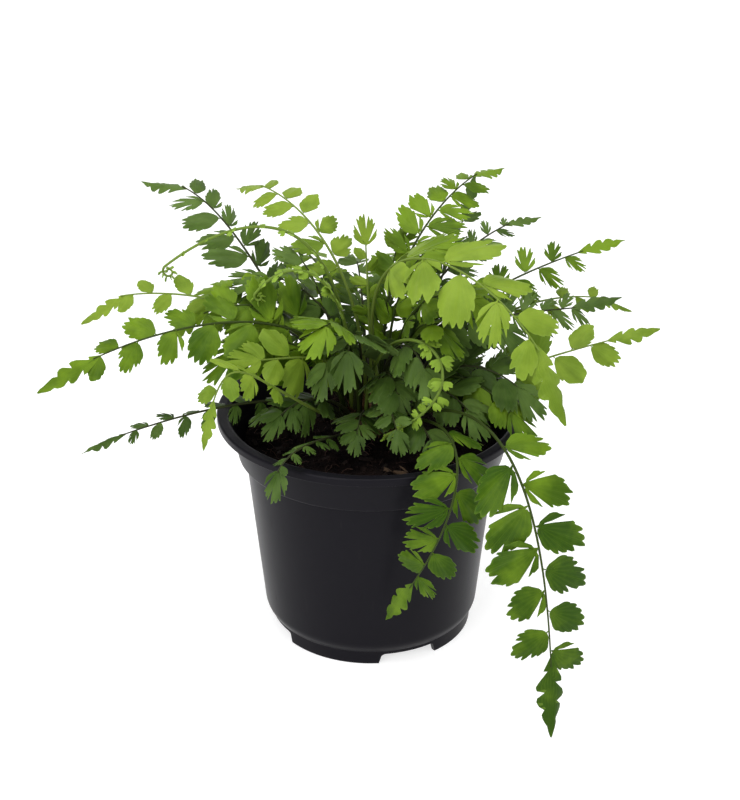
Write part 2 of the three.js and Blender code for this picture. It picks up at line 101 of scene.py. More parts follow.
GAP = 0.3
SOIL_MIDDLE = 95.5
SOIL_EDGE = 93.5
SOIL_SHOULDER = 30.0
SOIL_DIP = 0.6
CROWN_PLACE = (0.0, 8.0)
CROWN_RADIUS = 12.5
CROWN_HEIGHT = 11.0
STALK_RADIUS = 1.0
SEAT_RINGS = ((12, True), (50, True), (31, False))  # tilt, and whether the seats are evenly spread
FIRST_SEAT = 10
SEAT_GAP = 0.6
SEAT_LIFT = 1.6
STALK_PITCH = 14
FEWEST_FACETS = 6
BLADE_THICKNESS = 0.6  # of the solid that a leaflet stands for
LIFTS = (0, 13, -13, 26, -26, 39, -39)  # turns tried, in this order, to clear the neighbours
ARC_DIVISIONS = 200

# One frond: its age sets its colours and its cut the shapes of its leaflets. ring is 0 for the low
# seats, 1 for the high ones and 2 for those between. bare is the share of the stalk with no
# leaflets, leaf the longest leaflet, wide its width over its length, and roll the turn of the frond
# about its stalk. path lists three Bezier points after the seat: bearing, reach and height.
Frond = namedtuple("Frond", "name age cut ring bare count leaf wide roll path")
FRONDS = (
    Frond("front_right_hanging", "mature", "broad", 0, 0.42, 14, 29, 0.64, 28,
          ((307, 104, 172), (302, 138, 98), (303, 141, 12))),
    Frond("front_hanging", "mature", "lobed", 0, 0.36, 14, 23, 0.66, 0,
          ((306, 78, 145), (294, 116, 112), (276, 73, 38))),
    Frond("centre_bright", "young", "lobed", 1, 0.33, 12, 31, 0.62, 22,
          ((318, -30, 215), (318, 85, 198), (318, 107, 140))),
    Frond("left_low", "mature", "broad", 0, 0.14, 17, 24, 0.68, -38,
          ((196, 5, 165), (196, 90, 165), (196, 145, 135))),
    Frond("left_long", "young", "fan", 0, 0.26, 13, 18, 0.6, -38,
          ((182, 15, 165), (182, 120, 172), (182, 128, 152))),
    Frond("left_flat", "dark", "lobed", 0, 0.35, 14, 14, 0.5, -10,
          ((200, 30, 125), (200, 95, 116), (200, 132, 106))),
    Frond("upper_left", "dark", "lobed", 0, 0.4, 16, 23, 0.5, -15,
          ((145, 62, 146), (145, 80, 198), (145, 128, 189))),
    Frond("left_crozier", "crozier", "bud", 1, 0.45, 7, 5, 0.7, 0,
          ((178, 10, 226), (178, 70, 190), (178, 92, 172))),
    Frond("upper_mid_left", "young", "fan", 1, 0.42, 13, 19, 0.6, -20,
          ((128, 5, 190), (128, 80, 195), (128, 103, 184))),
    Frond("front_left_young", "young", "round", 0, 0.5, 8, 17, 0.62, -20,
          ((226, 81, 144), (226, 84, 173), (226, 101, 124))),
    Frond("front_left_short", "young", "round", 1, 0.42, 7, 20, 0.72, -40,
          ((214, 10, 142), (214, 45, 138), (214, 68, 145))),
    Frond("back_right_tall", "mature", "lobed", 1, 0.4, 17, 20, 0.55, 18,
          ((52, 5, 185), (52, 75, 200), (52, 100, 194))),
    Frond("back_right_upright", "dark", "lobed", 0, 0.36, 12, 18, 0.5, 10,
          ((62, 60, 132), (62, 90, 150), (62, 106, 180))),
    Frond("right_thin", "dark", "fine", 1, 0.45, 14, 15, 0.45, 25,
          ((33, 25, 175), (33, 80, 181), (33, 92, 179))),
    Frond("right_grey", "mature", "fine", 1, 0.45, 11, 18, 0.6, 35,
          ((20, 19, 152), (20, 95, 166), (20, 122, 170))),
    Frond("right_dark", "dark", "fine", 0, 0.35, 17, 20, 0.5, 35,
          ((8, 35, 163), (8, 80, 141), (8, 110, 151))),
    Frond("right_back_young", "young", "fan", 0, 0.5, 9, 13, 0.6, 30,
          ((17, 40, 150), (17, 100, 156), (17, 127, 138))),
    Frond("right_light", "young", "round", 0, 0.42, 8, 20, 0.66, 40,
          ((355, 54, 126), (355, 105, 141), (355, 123, 147))),
    Frond("right_short", "dark", "broad", 0, 0.4, 8, 24, 0.66, 35,
          ((334, 30, 142), (334, 62, 142), (334, 80, 122))),
    Frond("right_front_broad", "dark", "broad", 1, 0.35, 9, 24, 0.64, 30,
          ((342, 15, 152), (342, 50, 165), (342, 70, 146))),
    Frond("centre_crozier", "crozier", "bud", 1, 0.5, 8, 9, 0.66, 0,
          ((270, 26, 185), (314, 92, 150), (279, 46, 113))),
    Frond("front_small", "dark", "fine", 0, 0.25, 13, 10, 0.6, 0,
          ((244, 38, 104), (244, 88, 130), (244, 96, 104))),
    Frond("left_short", "dark", "round", 0, 0.45, 6, 15, 0.75, 0,
          ((208, 20, 116), (208, 42, 122), (208, 58, 112))),
    Frond("centre_left_young", "crozier", "round", 1, 0.45, 8, 9, 0.6, 0,
          ((190, 5, 168), (190, 32, 188), (190, 52, 164))),
    Frond("centre_broad", "dark", "broad", 1, 0.4, 8, 26, 0.72, 0,
          ((256, 8, 150), (256, 36, 166), (256, 46, 142))),
    Frond("front_low", "dark", "lobed", 0, 0.35, 9, 14, 0.62, 0,
          ((282, 18, 124), (282, 45, 128), (282, 60, 114))),
    Frond("front_right_low", "dark", "broad", 0, 0.4, 9, 21, 0.6, 20,
          ((316, 18, 130), (316, 50, 134), (316, 66, 117))),
    Frond("top_young", "young", "round", 1, 0.5, 7, 10, 0.62, 0,
          ((100, 5, 150), (100, 12, 175), (100, 16, 190))),
    Frond("back_arching", "mature", "lobed", 0, 0.35, 15, 20, 0.6, 0,
          ((78, 30, 158), (78, 82, 162), (78, 118, 128))),
    Frond("back_long", "dark", "lobed", 0, 0.35, 15, 19, 0.55, 0,
          ((96, 30, 140), (96, 80, 150), (96, 124, 108))),
    Frond("back_left_arching", "mature", "fan", 0, 0.35, 15, 20, 0.6, 0,
          ((113, 28, 155), (113, 85, 165), (113, 122, 135))),
    Frond("back_left_low", "dark", "lobed", 0, 0.38, 13, 18, 0.6, 0,
          ((134, 35, 128), (134, 85, 136), (134, 115, 106))),
    Frond("left_back_short", "mature", "fan", 1, 0.4, 10, 19, 0.62, -20,
          ((163, 20, 150), (163, 58, 165), (163, 84, 150))),
    Frond("back_right_low", "mature", "lobed", 0, 0.38, 13, 18, 0.6, 0,
          ((42, 28, 146), (42, 75, 148), (42, 104, 118))),
    Frond("front_right_broad", "dark", "broad", 1, 0.4, 8, 22, 0.66, 15,
          ((298, 12, 148), (298, 40, 160), (298, 56, 136))),
    Frond("centre_right_dark", "mature", "broad", 1, 0.4, 9, 22, 0.62, 25,
          ((328, 10, 165), (328, 42, 180), (328, 62, 162))),
    Frond("centre_upright", "mature", "fan", 1, 0.28, 10, 18, 0.6, 20,
          ((28, 5, 155), (28, 24, 182), (28, 42, 180))),
    Frond("centre_left_dark", "dark", "fan", 1, 0.4, 9, 20, 0.62, -25,
          ((152, 14, 150), (162, 38, 172), (166, 60, 160))),
    Frond("left_middle", "mature", "broad", 0, 0.3, 11, 22, 0.66, -35,
          ((187, 10, 150), (187, 52, 172), (187, 88, 148))),
    Frond("front_left_inner", "dark", "broad", 1, 0.42, 7, 22, 0.68, 0,
          ((238, 8, 142), (238, 28, 154), (238, 42, 132))),
    Frond("front_inner", "dark", "broad", 1, 0.42, 7, 21, 0.68, 0,
          ((288, 10, 132), (288, 30, 142), (288, 42, 122))),
    Frond("left_broad", "mature", "broad", 2, 0.32, 8, 25, 0.66, -30,
          ((203, 20, 138), (203, 46, 158), (203, 74, 138))),
    Frond("left_inner_low", "dark", "lobed", 2, 0.42, 7, 19, 0.66, -15,
          ((223, 22, 118), (223, 44, 128), (223, 60, 114))),
    Frond("centre_left_broad", "mature", "broad", 2, 0.4, 7, 26, 0.68, -15,
          ((245, 16, 150), (245, 34, 170), (245, 56, 160))),
    Frond("centre_front_broad", "mature", "broad", 2, 0.4, 7, 25, 0.68, 0,
          ((312, 20, 148), (312, 34, 168), (312, 52, 154))),
    Frond("front_right_dense", "dark", "broad", 2, 0.35, 9, 20, 0.62, 10,
          ((296, 20, 118), (296, 44, 126), (296, 66, 110))),
    Frond("front_right_outer", "mature", "broad", 2, 0.38, 8, 22, 0.64, 20,
          ((329, 22, 134), (329, 56, 140), (329, 80, 112))),
    Frond("right_low", "dark", "lobed", 2, 0.36, 8, 20, 0.62, 20,
          ((350, 24, 120), (350, 50, 130), (350, 74, 118))),
    Frond("right_inner", "mature", "broad", 2, 0.4, 8, 20, 0.62, 25,
          ((6, 19, 141), (6, 36, 170), (6, 58, 162))),
    Frond("centre_high_right", "mature", "lobed", 2, 0.24, 10, 18, 0.6, 10,
          ((66, 14, 150), (66, 26, 178), (66, 40, 178))),
    Frond("back_inner", "dark", "lobed", 2, 0.24, 10, 20, 0.62, 0,
          ((98, 18, 140), (98, 36, 162), (98, 56, 158))),
    Frond("centre_high_left", "dark", "lobed", 2, 0.24, 10, 18, 0.6, -10,
          ((146, 22, 145), (146, 32, 172), (146, 48, 172))),
    Frond("front_centre_low", "dark", "lobed", 2, 0.4, 7, 16, 0.64, 0,
          ((262, 18, 114), (262, 34, 120), (262, 48, 109))),
)

# Unrolling tips: turns of the spiral and the radius that it starts with.
CURLS = {
    "left_crozier": (1.2, 3.0),
    "centre_crozier": (1.15, 2.7),
    "centre_left_young": (0.9, 2.3),
}

# A leaflet's outline. spread is the half angle of its wedge, shoulder the length of its sides
# over its middle, full how square its end is, and bite the depth of the notches between teeth.
# Each cut is its place in teeth, its depth as a share of the radius and its half width in teeth.
Outline = namedtuple("Outline", "teeth spread shoulder full bite cuts")
OUTLINES = {
    "fan": Outline(9, 50, 0.5, 1.5, 0.08, ((4, 0.1, 0.5),)),
    "fan_wide": Outline(10, 56, 0.52, 1.7, 0.08, ((3, 0.2, 0.4), (7, 0.16, 0.4))),
    "oval": Outline(8, 46, 0.48, 1.4, 0.08, ()),
    "spoon": Outline(6, 40, 0.55, 1.6, 0.08, ((2, 0.15, 0.4),)),
    "lobe_left": Outline(10, 62, 0.5, 1.6, 0.08, ((2, 0.84, 0.5), (6, 0.12, 0.4))),
    "lobe_right": Outline(10, 62, 0.5, 1.6, 0.08, ((8, 0.84, 0.5), (4, 0.12, 0.4))),
    "two_lobes": Outline(12, 66, 0.5, 1.6, 0.08, ((2, 0.84, 0.5), (6, 0.14, 0.4), (10, 0.84, 0.5))),
    "three_cuts": Outline(11, 60, 0.52, 1.7, 0.09, ((2, 0.8, 0.5), (5, 0.34, 0.45), (8, 0.5, 0.5))),
    "fine": Outline(9, 50, 0.5, 1.6, 0.12, ((2, 0.6, 0.5), (4, 0.4, 0.5), (7, 0.5, 0.5))),
    "fine_lobe": Outline(10, 56, 0.5, 1.7, 0.12, ((2, 0.8, 0.5), (5, 0.42, 0.5), (7, 0.46, 0.5))),
    "round": Outline(8, 52, 0.66, 2.2, 0.05, ()),
    "bud": Outline(4, 40, 0.7, 2.4, 0.12, ((2, 0.25, 0.5),)),
}
TIP_TEETH = 4
# Shapes of the lowest, middle and last leaflets of a frond of each cut.
CUTS = {
    "broad": (
        ("lobe_left", "lobe_right", "two_lobes"), ("fan_wide", "lobe_right", "fan"), ("oval", "fan"),
    ),
    "lobed": (
        ("two_lobes", "lobe_left", "three_cuts"), ("lobe_left", "three_cuts", "fan"), ("oval", "spoon"),
    ),
    "fan": (("lobe_right", "fan_wide", "lobe_left"), ("fan", "oval"), ("oval", "spoon")),
    "fine": (("fine_lobe", "fine", "three_cuts"), ("fine", "fine_lobe"), ("spoon", "fine")),
    "round": (("lobe_left", "round", "lobe_right"), ("round", "oval", "fan"), ("round", "spoon")),
    "bud": (("bud",), ("bud", "round"), ("bud",)),
}
LEAF_COLUMNS_PER_TOOTH = 4
LEAF_ROWS = (0.0, 0.09, 0.17, 0.38, 0.64, 0.86, 1.0)  # shares of the radius, out from the stem
STEM_END = 0.1
STEM_HALF_WIDTH = 0.014
BASE_END = 0.2
NARROW_BASE = 0.5  # how much of its spread a leaflet has between its stem and its base's end
UNEVEN_TEETH = 0.11
SLOTS = {
    "mature": "leaf_mature", "dark": "leaf_dark", "young": "leaf_young", "crozier": "leaf_unfurling",
}


# ---- settings ---------------------------------------------------------------------------------
def length(name, description, default):
    """A length in metres that a user can change."""
    return FloatProperty(name=name, description=description, default=default, unit="LENGTH", precision=5)


def colour(name, description, default):
    """A linear colour that a user can change."""
    return FloatVectorProperty(
        name=name, description=description, default=default, subtype="COLOR", min=0, max=1
    )


class PotSettings(bpy.types.PropertyGroup):
    """Sizes and colours of the moulded pot."""
    wall: length("Wall", "Thickness of the moulding", 0.0015)
    columns: IntProperty(name="Columns", description="Faces round the pot", default=240, min=48)
    plastic: colour("Plastic", "Colour of the plastic", (0.006, 0.0055, 0.0078))
    dust: colour("Dust", "Colour of dust and scuffs", (0.03, 0.027, 0.027))


class SoilSettings(bpy.types.PropertyGroup):
    """Sizes and colours of the potting mix."""
    lumps: length("Lumps", "Height of the surface's lumps", 0.0012)
    crumb: length("Crumb", "Size of the largest crumb", 0.0032)
    crumb_density: FloatProperty(name="Crumbs", description="Crumbs per square metre", default=150000)
    fibre_density: FloatProperty(name="Fibres", description="Fibres per square metre", default=26000)
    chip_density: FloatProperty(name="Chips", description="Bark chips per square metre", default=4200)
    seed: IntProperty(name="Seed", description="Seed of the scattered pieces", default=7)
    damp: colour("Damp", "Colour of damp mix", (0.0032, 0.0022, 0.0024))
    dry: colour("Dry", "Colour of dry crumbs", (0.02, 0.0125, 0.0105))
    fibre: colour("Fibre", "Colour of the fibres", (0.06, 0.034, 0.026))


class CrownSettings(bpy.types.PropertyGroup):
    """Sizes and colours of the crown."""
    scale_length: length("Scale", "Length of the longest scale", 0.0052)
    scale_density: FloatProperty(name="Scales", description="Scales per square metre", default=340000)
    seed: IntProperty(name="Seed", description="Seed of the scales", default=3)
    flesh: colour("Flesh", "Colour under the scales", (0.03, 0.018, 0.009))
    scale: colour("Scales", "Colour of the scales", (0.11, 0.055, 0.022))


class FrondSettings(bpy.types.PropertyGroup):
    """Sizes and colours of the fronds."""
    thickness: length("Leaflet thickness", "Thickness of a leaflet", 0.0003)
    stalk_base: length("Stalk radius", "Radius of a stalk where it leaves the crown", 0.00105)
    stalk_tip: length("Tip radius", "Radius of a stalk at its tip", 0.00032)
    sides: IntProperty(name="Stalk sides", description="Faces round a stalk", default=8, min=3)
    ruffle: FloatProperty(name="Ruffle", description="Waviness over leaflet length", default=0.022)
    mature: colour("Mature", "Colour of mature leaflets", (0.022, 0.058, 0.001))
    dark: colour("Dark", "Colour of old leaflets", (0.02, 0.046, 0.004))
    young: colour("Young", "Colour of young leaflets", (0.072, 0.132, 0.007))
    crozier: colour("Unrolling", "Colour of unrolling fronds", (0.12, 0.2, 0.018))


class StageSettings(bpy.types.PropertyGroup):
    """Camera, floor and light."""
    lens: FloatProperty(name="Lens", description="Focal length", default=80.2, unit="CAMERA")
    camera_height: length("Camera height", "Height of the camera over the floor", 0.465)
    camera_distance: length("Camera distance", "Distance of the camera in front of the pot", 0.729)
    camera_tilt: FloatProperty(
        name="Camera tilt", description="Tilt of the view below the horizon",
        default=math.radians(26.12), subtype="ANGLE",
    )
    floor: colour("Floor", "Colour of the floor", (0.5, 0.5, 0.503))
    floor_glow: FloatProperty(name="Floor glow", description="Light from under the floor", default=0.68)


# ---- node trees -------------------------------------------------------------------------------
class Wire:
    """An output socket that takes part in Python arithmetic by adding Math nodes."""

    def __init__(self, net, socket):
        self.net = net
        self.socket = socket

    def math(self, operation, *values):
        return self.net.add("ShaderNodeMath", {"operation": operation}, dict(enumerate(values)))

    def __add__(self, other):
        return self.math("ADD", self, other)

    def __radd__(self, other):
        return self.math("ADD", other, self)

    def __sub__(self, other):
        return self.math("SUBTRACT", self, other)

    def __rsub__(self, other):
        return self.math("SUBTRACT", other, self)

    def __mul__(self, other):
        return self.math("MULTIPLY", self, other)

    def __rmul__(self, other):
        return self.math("MULTIPLY", other, self)

    def __truediv__(self, other):
        return self.math("DIVIDE", self, other)

    def __pow__(self, other):
        return self.math("POWER", self, other)

    def absolute(self):
        return self.math("ABSOLUTE", self)

    def fraction(self):
        return self.math("FRACT", self)

    def sine(self):
        return self.math("SINE", self)

    def larger(self, other):
        return self.math("MAXIMUM", self, other)

    def step(self, low, high, start=0.0, end=1.0):
        """start below low, end above high and a smooth change between them."""
        return self.net.add(
            "ShaderNodeMapRange", {"interpolation_type": "SMOOTHSTEP"},
            {"Value": self, "From Min": low, "From Max": high, "To Min": start, "To Max": end}, "Result",
        )


class Net:
    """Adds nodes to one tree. A node's settings come first, then its values and links."""

    def __init__(self, tree):
        self.tree = tree

    def find(self, sockets, key):
        if isinstance(key, int):
            return sockets[key]
        for socket in sockets:
            if socket.identifier == key:
                return socket
        return next(socket for socket in sockets if socket.name == key)

    def set(self, node, key, value):
        socket = self.find(node.inputs, key)
        if isinstance(value, Wire):
            self.tree.links.new(value.socket, socket)
        else:
            socket.default_value = value

    def add(self, kind, settings=None, values=None, out=0):
        """Adds one node and returns its output named out, or the node itself where out is None."""
        node = self.tree.nodes.new(kind)
        for name, value in (settings or {}).items():
            if name == "stops":
                self.stops(node.color_ramp, value)
            else:
                setattr(node, name, value)
        for key, value in (values or {}).items():
            self.set(node, key, value)
        return node if out is None else Wire(self, self.find(node.outputs, out))

    def stops(self, ramp, stops):
        while len(ramp.elements) < len(stops):
            ramp.elements.new(1.0)
        for element, (position, value) in zip(ramp.elements, stops):
            element.position = position
            element.color = value if len(value) == 4 else (*value, 1)

    def mix(self, share, first, second):
        """A colour between two colours."""
        first, second = (c if isinstance(c, Wire) else (*c[:3], 1) for c in (first, second))
        values = {"Factor_Float": share, "A_Color": first, "B_Color": second}
        return self.add("ShaderNodeMix", {"data_type": "RGBA"}, values, "Result_Color")

    def scaled(self, tint, by):
        """A colour made lighter or darker by a number or a wire."""
        return self.add("ShaderNodeVectorMath", {"operation": "SCALE"}, {0: tint, "Scale": by}, 0)


def new_tree(name, inputs, output):
    """An empty tree for a modifier, and its inputs as wires. inputs pairs each name with a kind."""
    tree = bpy.data.node_groups.new(name, "GeometryNodeTree")
    tree.is_modifier = True
    for label, kind in inputs:
        tree.interface.new_socket(label, in_out="INPUT", socket_type="NodeSocket" + kind)
    tree.interface.new_socket(output, in_out="OUTPUT", socket_type="NodeSocketGeometry")
    net = Net(tree)
    entry = net.add("NodeGroupInput", out=None)
    return net, {socket.name: Wire(net, socket) for socket in entry.outputs if socket.name}


class Finish(Net):
    """A material under construction, on Object coordinates."""

    def __init__(self, name):
        self.material = bpy.data.materials.new(name)
        self.material.use_nodes = True
        self.material.node_tree.nodes.clear()
        super().__init__(self.material.node_tree)
        self.place = self.add("ShaderNodeTexCoord", out="Object")

    def attribute(self, name):
        settings = {"attribute_type": "GEOMETRY", "attribute_name": name}
        return self.add("ShaderNodeAttribute", settings, out="Fac")

    def noise(self, scale, detail=3.0, roughness=0.55, stretch=None):
        """Noise from 0 to 1, with its scale in features per metre."""
        place = self.place
        if stretch:
            place = self.add("ShaderNodeMapping", values={"Vector": place, "Scale": stretch})
        values = {"Vector": place, "Scale": scale, "Detail": detail, "Roughness": roughness}
        return self.add("ShaderNodeTexNoise", values=values, out="Fac")

    def bump(self, height, strength, distance):
        values = {"Height": height, "Strength": strength, "Distance": distance}
        return self.add("ShaderNodeBump", values=values, out="Normal")

    def done(self, **values):
        """Ends in one Principled shader. Underscores in the names stand for spaces."""
        values = {name.replace("_", " "): value for name, value in values.items()}
        shader = self.add("ShaderNodeBsdfPrincipled", values=values, out="BSDF")
        self.add("ShaderNodeOutputMaterial", values={"Surface": shader}, out=None)
        return self.material


# ---- mesh helpers -----------------------------------------------------------------------------
def mesh_from(name, points, faces, edges=(), scale=MM):
    """A mesh from points in millimetres."""
    mesh = bpy.data.meshes.new(name)
    mesh.from_pydata([tuple(float(c) * scale for c in p) for p in points], list(edges), list(faces))
    mesh.update()
    return mesh


def put(mesh, name, values, kind="FLOAT"):
    """Stores one value for each point of a mesh."""
    attribute = mesh.attributes.new(name, kind, "POINT")
    field = "vector" if kind == "FLOAT_VECTOR" else "value"
    kept = np.asarray(values, np.int32 if kind == "INT" else np.float32)
    attribute.data.foreach_set(field, kept.ravel())


def new_object(name, mesh):
    thing = bpy.data.objects.new(name, mesh)
    bpy.context.scene.collection.objects.link(thing)
    return thing


def finished(thing, slot, *nodes):
    """Parents a finished piece to the root body and hides the parts of the model that it stands for."""
    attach(thing, "root")
    if nodes:
        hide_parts(*nodes)
    return thing


def discard(thing):
    mesh = thing.data
    bpy.data.objects.remove(thing)
    bpy.data.meshes.remove(mesh)


def settled(thing):
    """Replaces an object's mesh by what its modifiers make of it, and removes them."""
    graph = bpy.context.evaluated_depsgraph_get()
    made = bpy.data.meshes.new_from_object(
        thing.evaluated_get(graph), preserve_all_data_layers=True, depsgraph=graph
    )
    thing.modifiers.clear()
    old = thing.data
    thing.data = made
    bpy.data.meshes.remove(old)
    made.name = thing.name
    if not made.polygons:
        raise RuntimeError(f"{thing.name} came out empty")
    return thing


def with_nodes(thing, tree, **inputs):
    """Runs a Geometry Nodes tree on an object and keeps the result as a plain mesh."""
    modifier = thing.modifiers.new(tree.name, "NODES")
    modifier.node_group = tree
    identifiers = {
        item.name: item.identifier for item in tree.interface.items_tree if item.in_out == "INPUT"
    }
    for name, value in inputs.items():
        modifier[identifiers[name.replace("_", " ")]] = value
    return settled(thing)


def rounded(corners, steps=4):
    """An outline through (radius, height, fillet) corners, with its corners rounded.

    Points a little outside each fillet keep the shading of the straight stretches flat."""
    points = []
    spots = [np.array(corner[:2], float) for corner in corners]
    for i, corner in enumerate(corners):
        if i in (0, len(corners) - 1) or not corner[2]:
            points.append(spots[i])
            continue
        ways = [spots[i - 1] - spots[i], spots[i + 1] - spots[i]]
        spans = [np.linalg.norm(way) for way in ways]
        fillet = min(corner[2], *(0.45 * span for span in spans))
        held = [min(fillet + 0.35, 0.48 * span) for span in spans]
        start, end = (spots[i] + way / span * fillet for way, span in zip(ways, spans))
        points.append(spots[i] + ways[0] / spans[0] * held[0])
        for k in range(steps + 1):
            t = k / steps
            points.append((1 - t) ** 2 * start + 2 * t * (1 - t) * spots[i] + t * t * end)
        points.append(spots[i] + ways[1] / spans[1] * held[1])
    return points


def turned(outline, columns):
    """Points and faces of an outline of (radius, height) that starts and ends on the Z axis."""
    rings = outline[1:-1]
    turns = 2 * math.pi * np.arange(columns) / columns
    points = [(0, 0, outline[0][1])]
    for radius, height in rings:
        points += [(radius * math.cos(a), radius * math.sin(a), height) for a in turns]
    points.append((0, 0, outline[-1][1]))
    faces = []
    for j in range(columns):
        k = (j + 1) % columns
        faces.append((0, 1 + k, 1 + j))
        for i in range(len(rings) - 1):
            low, high = 1 + i * columns, 1 + (i + 1) * columns
            faces.append((low + j, low + k, high + k, high + j))
        last = 1 + (len(rings) - 1) * columns
        faces.append((len(points) - 1, last + j, last + k))
    return np.array(points), faces


def tube(path, radii, sides):
    """Points and faces of a closed tube along a path, for small parts."""
    points, faces = [], []
    path = [Vector(p) for p in path]
    for i, here in enumerate(path):
        along = (path[min(i + 1, len(path) - 1)] - path[max(i - 1, 0)]).normalized()
        side = along.orthogonal().normalized()
        other = along.cross(side)
        for j in range(sides):
            turn = 2 * math.pi * j / sides
            points.append(here + radii[i] * (side * math.cos(turn) + other * math.sin(turn)))
    for i in range(len(path) - 1):
        for j in range(sides):
            k = (j + 1) % sides
            low, high = i * sides, (i + 1) * sides
            faces.append((low + j, low + k, high + k, high + j))
    faces.append(tuple(reversed(range(sides))))
    faces.append(tuple(range(len(points) - sides, len(points))))
    return points, faces


def joined(shapes):
    """Points and faces of several shapes as those of one."""
    points, faces = [], []
    for more, sides in shapes:
        faces += [tuple(len(points) + v for v in side) for side in sides]
        points += more
    return points, faces


def worked(name, work):
    """A mesh made from finished bmesh work."""
    mesh = bpy.data.meshes.new(name)
    work.to_mesh(mesh)
    work.free()
    return mesh


def gathered(name, meshes):
    """A hidden collection of small shapes for a tree to pick from, in the order given."""
    collection = bpy.data.collections.new(name)
    for i, mesh in enumerate(meshes):
        collection.objects.link(bpy.data.objects.new(f"{name}_{i:02d}", mesh))
    return collection


def dropped(collection):
    for thing in list(collection.objects):
        discard(thing)
    bpy.data.collections.remove(collection)


# ---- pot --------------------------------------------------------------------------------------
def inside_radius(height, wall):
    share = (height - STEP_HEIGHT) / (COLLAR_FOOT_HEIGHT - STEP_HEIGHT)
    return WALL_FOOT + (WALL_TOP - WALL_FOOT) * share - wall


def pot_outline(wall):
    """The pot's closed outline, from the middle of its underside out, up and back down inside."""
    brim_low = POT_HEIGHT - BRIM_DROP
    inner = RIM_RADIUS - BRIM_WIDTH
    return rounded([
        (0, 0, 0), (HUB, 0, 0.8), (HUB, FLOOR - wall, 0.8),
        (FOOT_RADIUS - FOOT_WIDTH, FLOOR - wall, 0.5), (FOOT_RADIUS - FOOT_WIDTH, 0, 0.4),
        (FOOT_RADIUS, 0, 0.5), (FOOT_RADIUS, FLOOR - 0.4, 0.5), (FOOT_RADIUS + 0.9, FLOOR + 0.2, 0.5),
        (WALL_FOOT, STEP_HEIGHT + 1.6, 2.2), (WALL_TOP, COLLAR_FOOT_HEIGHT, 0.4),
        (COLLAR_FOOT, COLLAR_FOOT_HEIGHT + 0.5, 0.7), (COLLAR_TOP, brim_low + BRIM_HOLLOW, 0.5),
        (RIM_RADIUS - 1.3, brim_low + BRIM_HOLLOW, 0.4), (RIM_RADIUS - 1.1, brim_low, 0.3),
        (RIM_RADIUS, brim_low, 0.4), (RIM_RADIUS, POT_HEIGHT, 0.9), (inner, POT_HEIGHT, 0.9),
        (inner - 1.3, POT_HEIGHT - 1.4, 0.7), (COLLAR_FOOT - wall, COLLAR_FOOT_HEIGHT + wall, 1.0),
        (inside_radius(COLLAR_FOOT_HEIGHT, wall), COLLAR_FOOT_HEIGHT - 0.6, 0.8),
        (inside_radius(STEP_HEIGHT, wall), STEP_HEIGHT, 1.4),
        (inside_radius(STEP_HEIGHT, wall) - 2, FLOOR, 1.2), (HUB - wall, FLOOR, 0.8),
        (HUB - wall, wall, 0.6), (0, wall, 0),
    ])


def arch_rise(bearing):
    """How high the foot is cut away at a bearing."""
    pitch = 360 / FOOT_ARCHES
    offset = (bearing - FIRST_ARCH + pitch / 2) % pitch - pitch / 2
    inset = ARCH_WIDTH / 2 - abs(math.radians(offset)) * FOOT_RADIUS
    if inset <= 0:
        return 0.0
    if inset >= ARCH_CORNER:
        return ARCH_HEIGHT
    drop = ARCH_CORNER - math.sqrt(ARCH_CORNER ** 2 - (ARCH_CORNER - inset) ** 2)
    return ARCH_HEIGHT - drop


def cut_arches(points):
    """Squeezes the foot ring upwards over each arch."""
    top = FLOOR - 1.6
    for point in points:
        reach = math.hypot(point[0], point[1])
        on_foot = FOOT_RADIUS - FOOT_WIDTH - 0.1 < reach < FOOT_RADIUS + 0.1 and point[2] < top
        if on_foot:
            rise = arch_rise(math.degrees(math.atan2(point[1], point[0])))
            rise = min(rise, top - 0.2)
            point[2] = rise + point[2] * (top - rise) / top
    return points


def drill(thing, holes):
    """Cuts a mesh of closed drill shapes out of an object."""
    cutter = new_object("drill", holes)
    cut = thing.modifiers.new("Drains", "BOOLEAN")
    cut.operation = "DIFFERENCE"
    cut.solver = "EXACT"
    cut.object = cutter
    settled(thing)
    discard(cutter)


def drain_shapes():
    """Drills for the drain holes, which reach past both faces of the pot's floor."""
    drills = []
    for i in range(DRAINS):
        turn = math.radians(FIRST_DRAIN + i * 360 / DRAINS)
        x, y = DRAIN_RING * math.cos(turn), DRAIN_RING * math.sin(turn)
        drills.append(tube([(x, y, FLOOR - 4), (x, y, FLOOR + 4)], [DRAIN_RADIUS] * 2, 24))
    return mesh_from("drain_shapes", *joined(drills))


def pot_finish(settings):
    """Satin black plastic with a moulded grain, faint scuffs and a little dust in the corners."""
    net = Finish("nursery_plastic")
    grain = net.noise(2600, 2)
    flow = net.noise(38, 2, stretch=(1, 1, 0.25))
    scuffs = net.noise(260, 4, 0.7, stretch=(1, 1, 0.18)).step(0.6, 0.78)
    patches = net.noise(26, 3).step(0.42, 0.72)
    height = net.add("ShaderNodeSeparateXYZ", values={0: net.place}, out="Z")
    low = height.step(0.0, 0.016, 1, 0)
    dust = scuffs * patches * 0.35 + low * patches * 0.3 + grain.step(0.66, 0.8) * 0.05
    tint = net.mix(dust, settings.plastic, settings.dust)
    relief = grain * 0.5 + flow * 1.6
    return net.done(
        Base_Color=tint, Roughness=0.27 + flow * 0.08 + scuffs * 0.16 + patches * 0.06,
        Specular_IOR_Level=0.07, Normal=net.bump(relief, 0.22, 0.00012),
    )


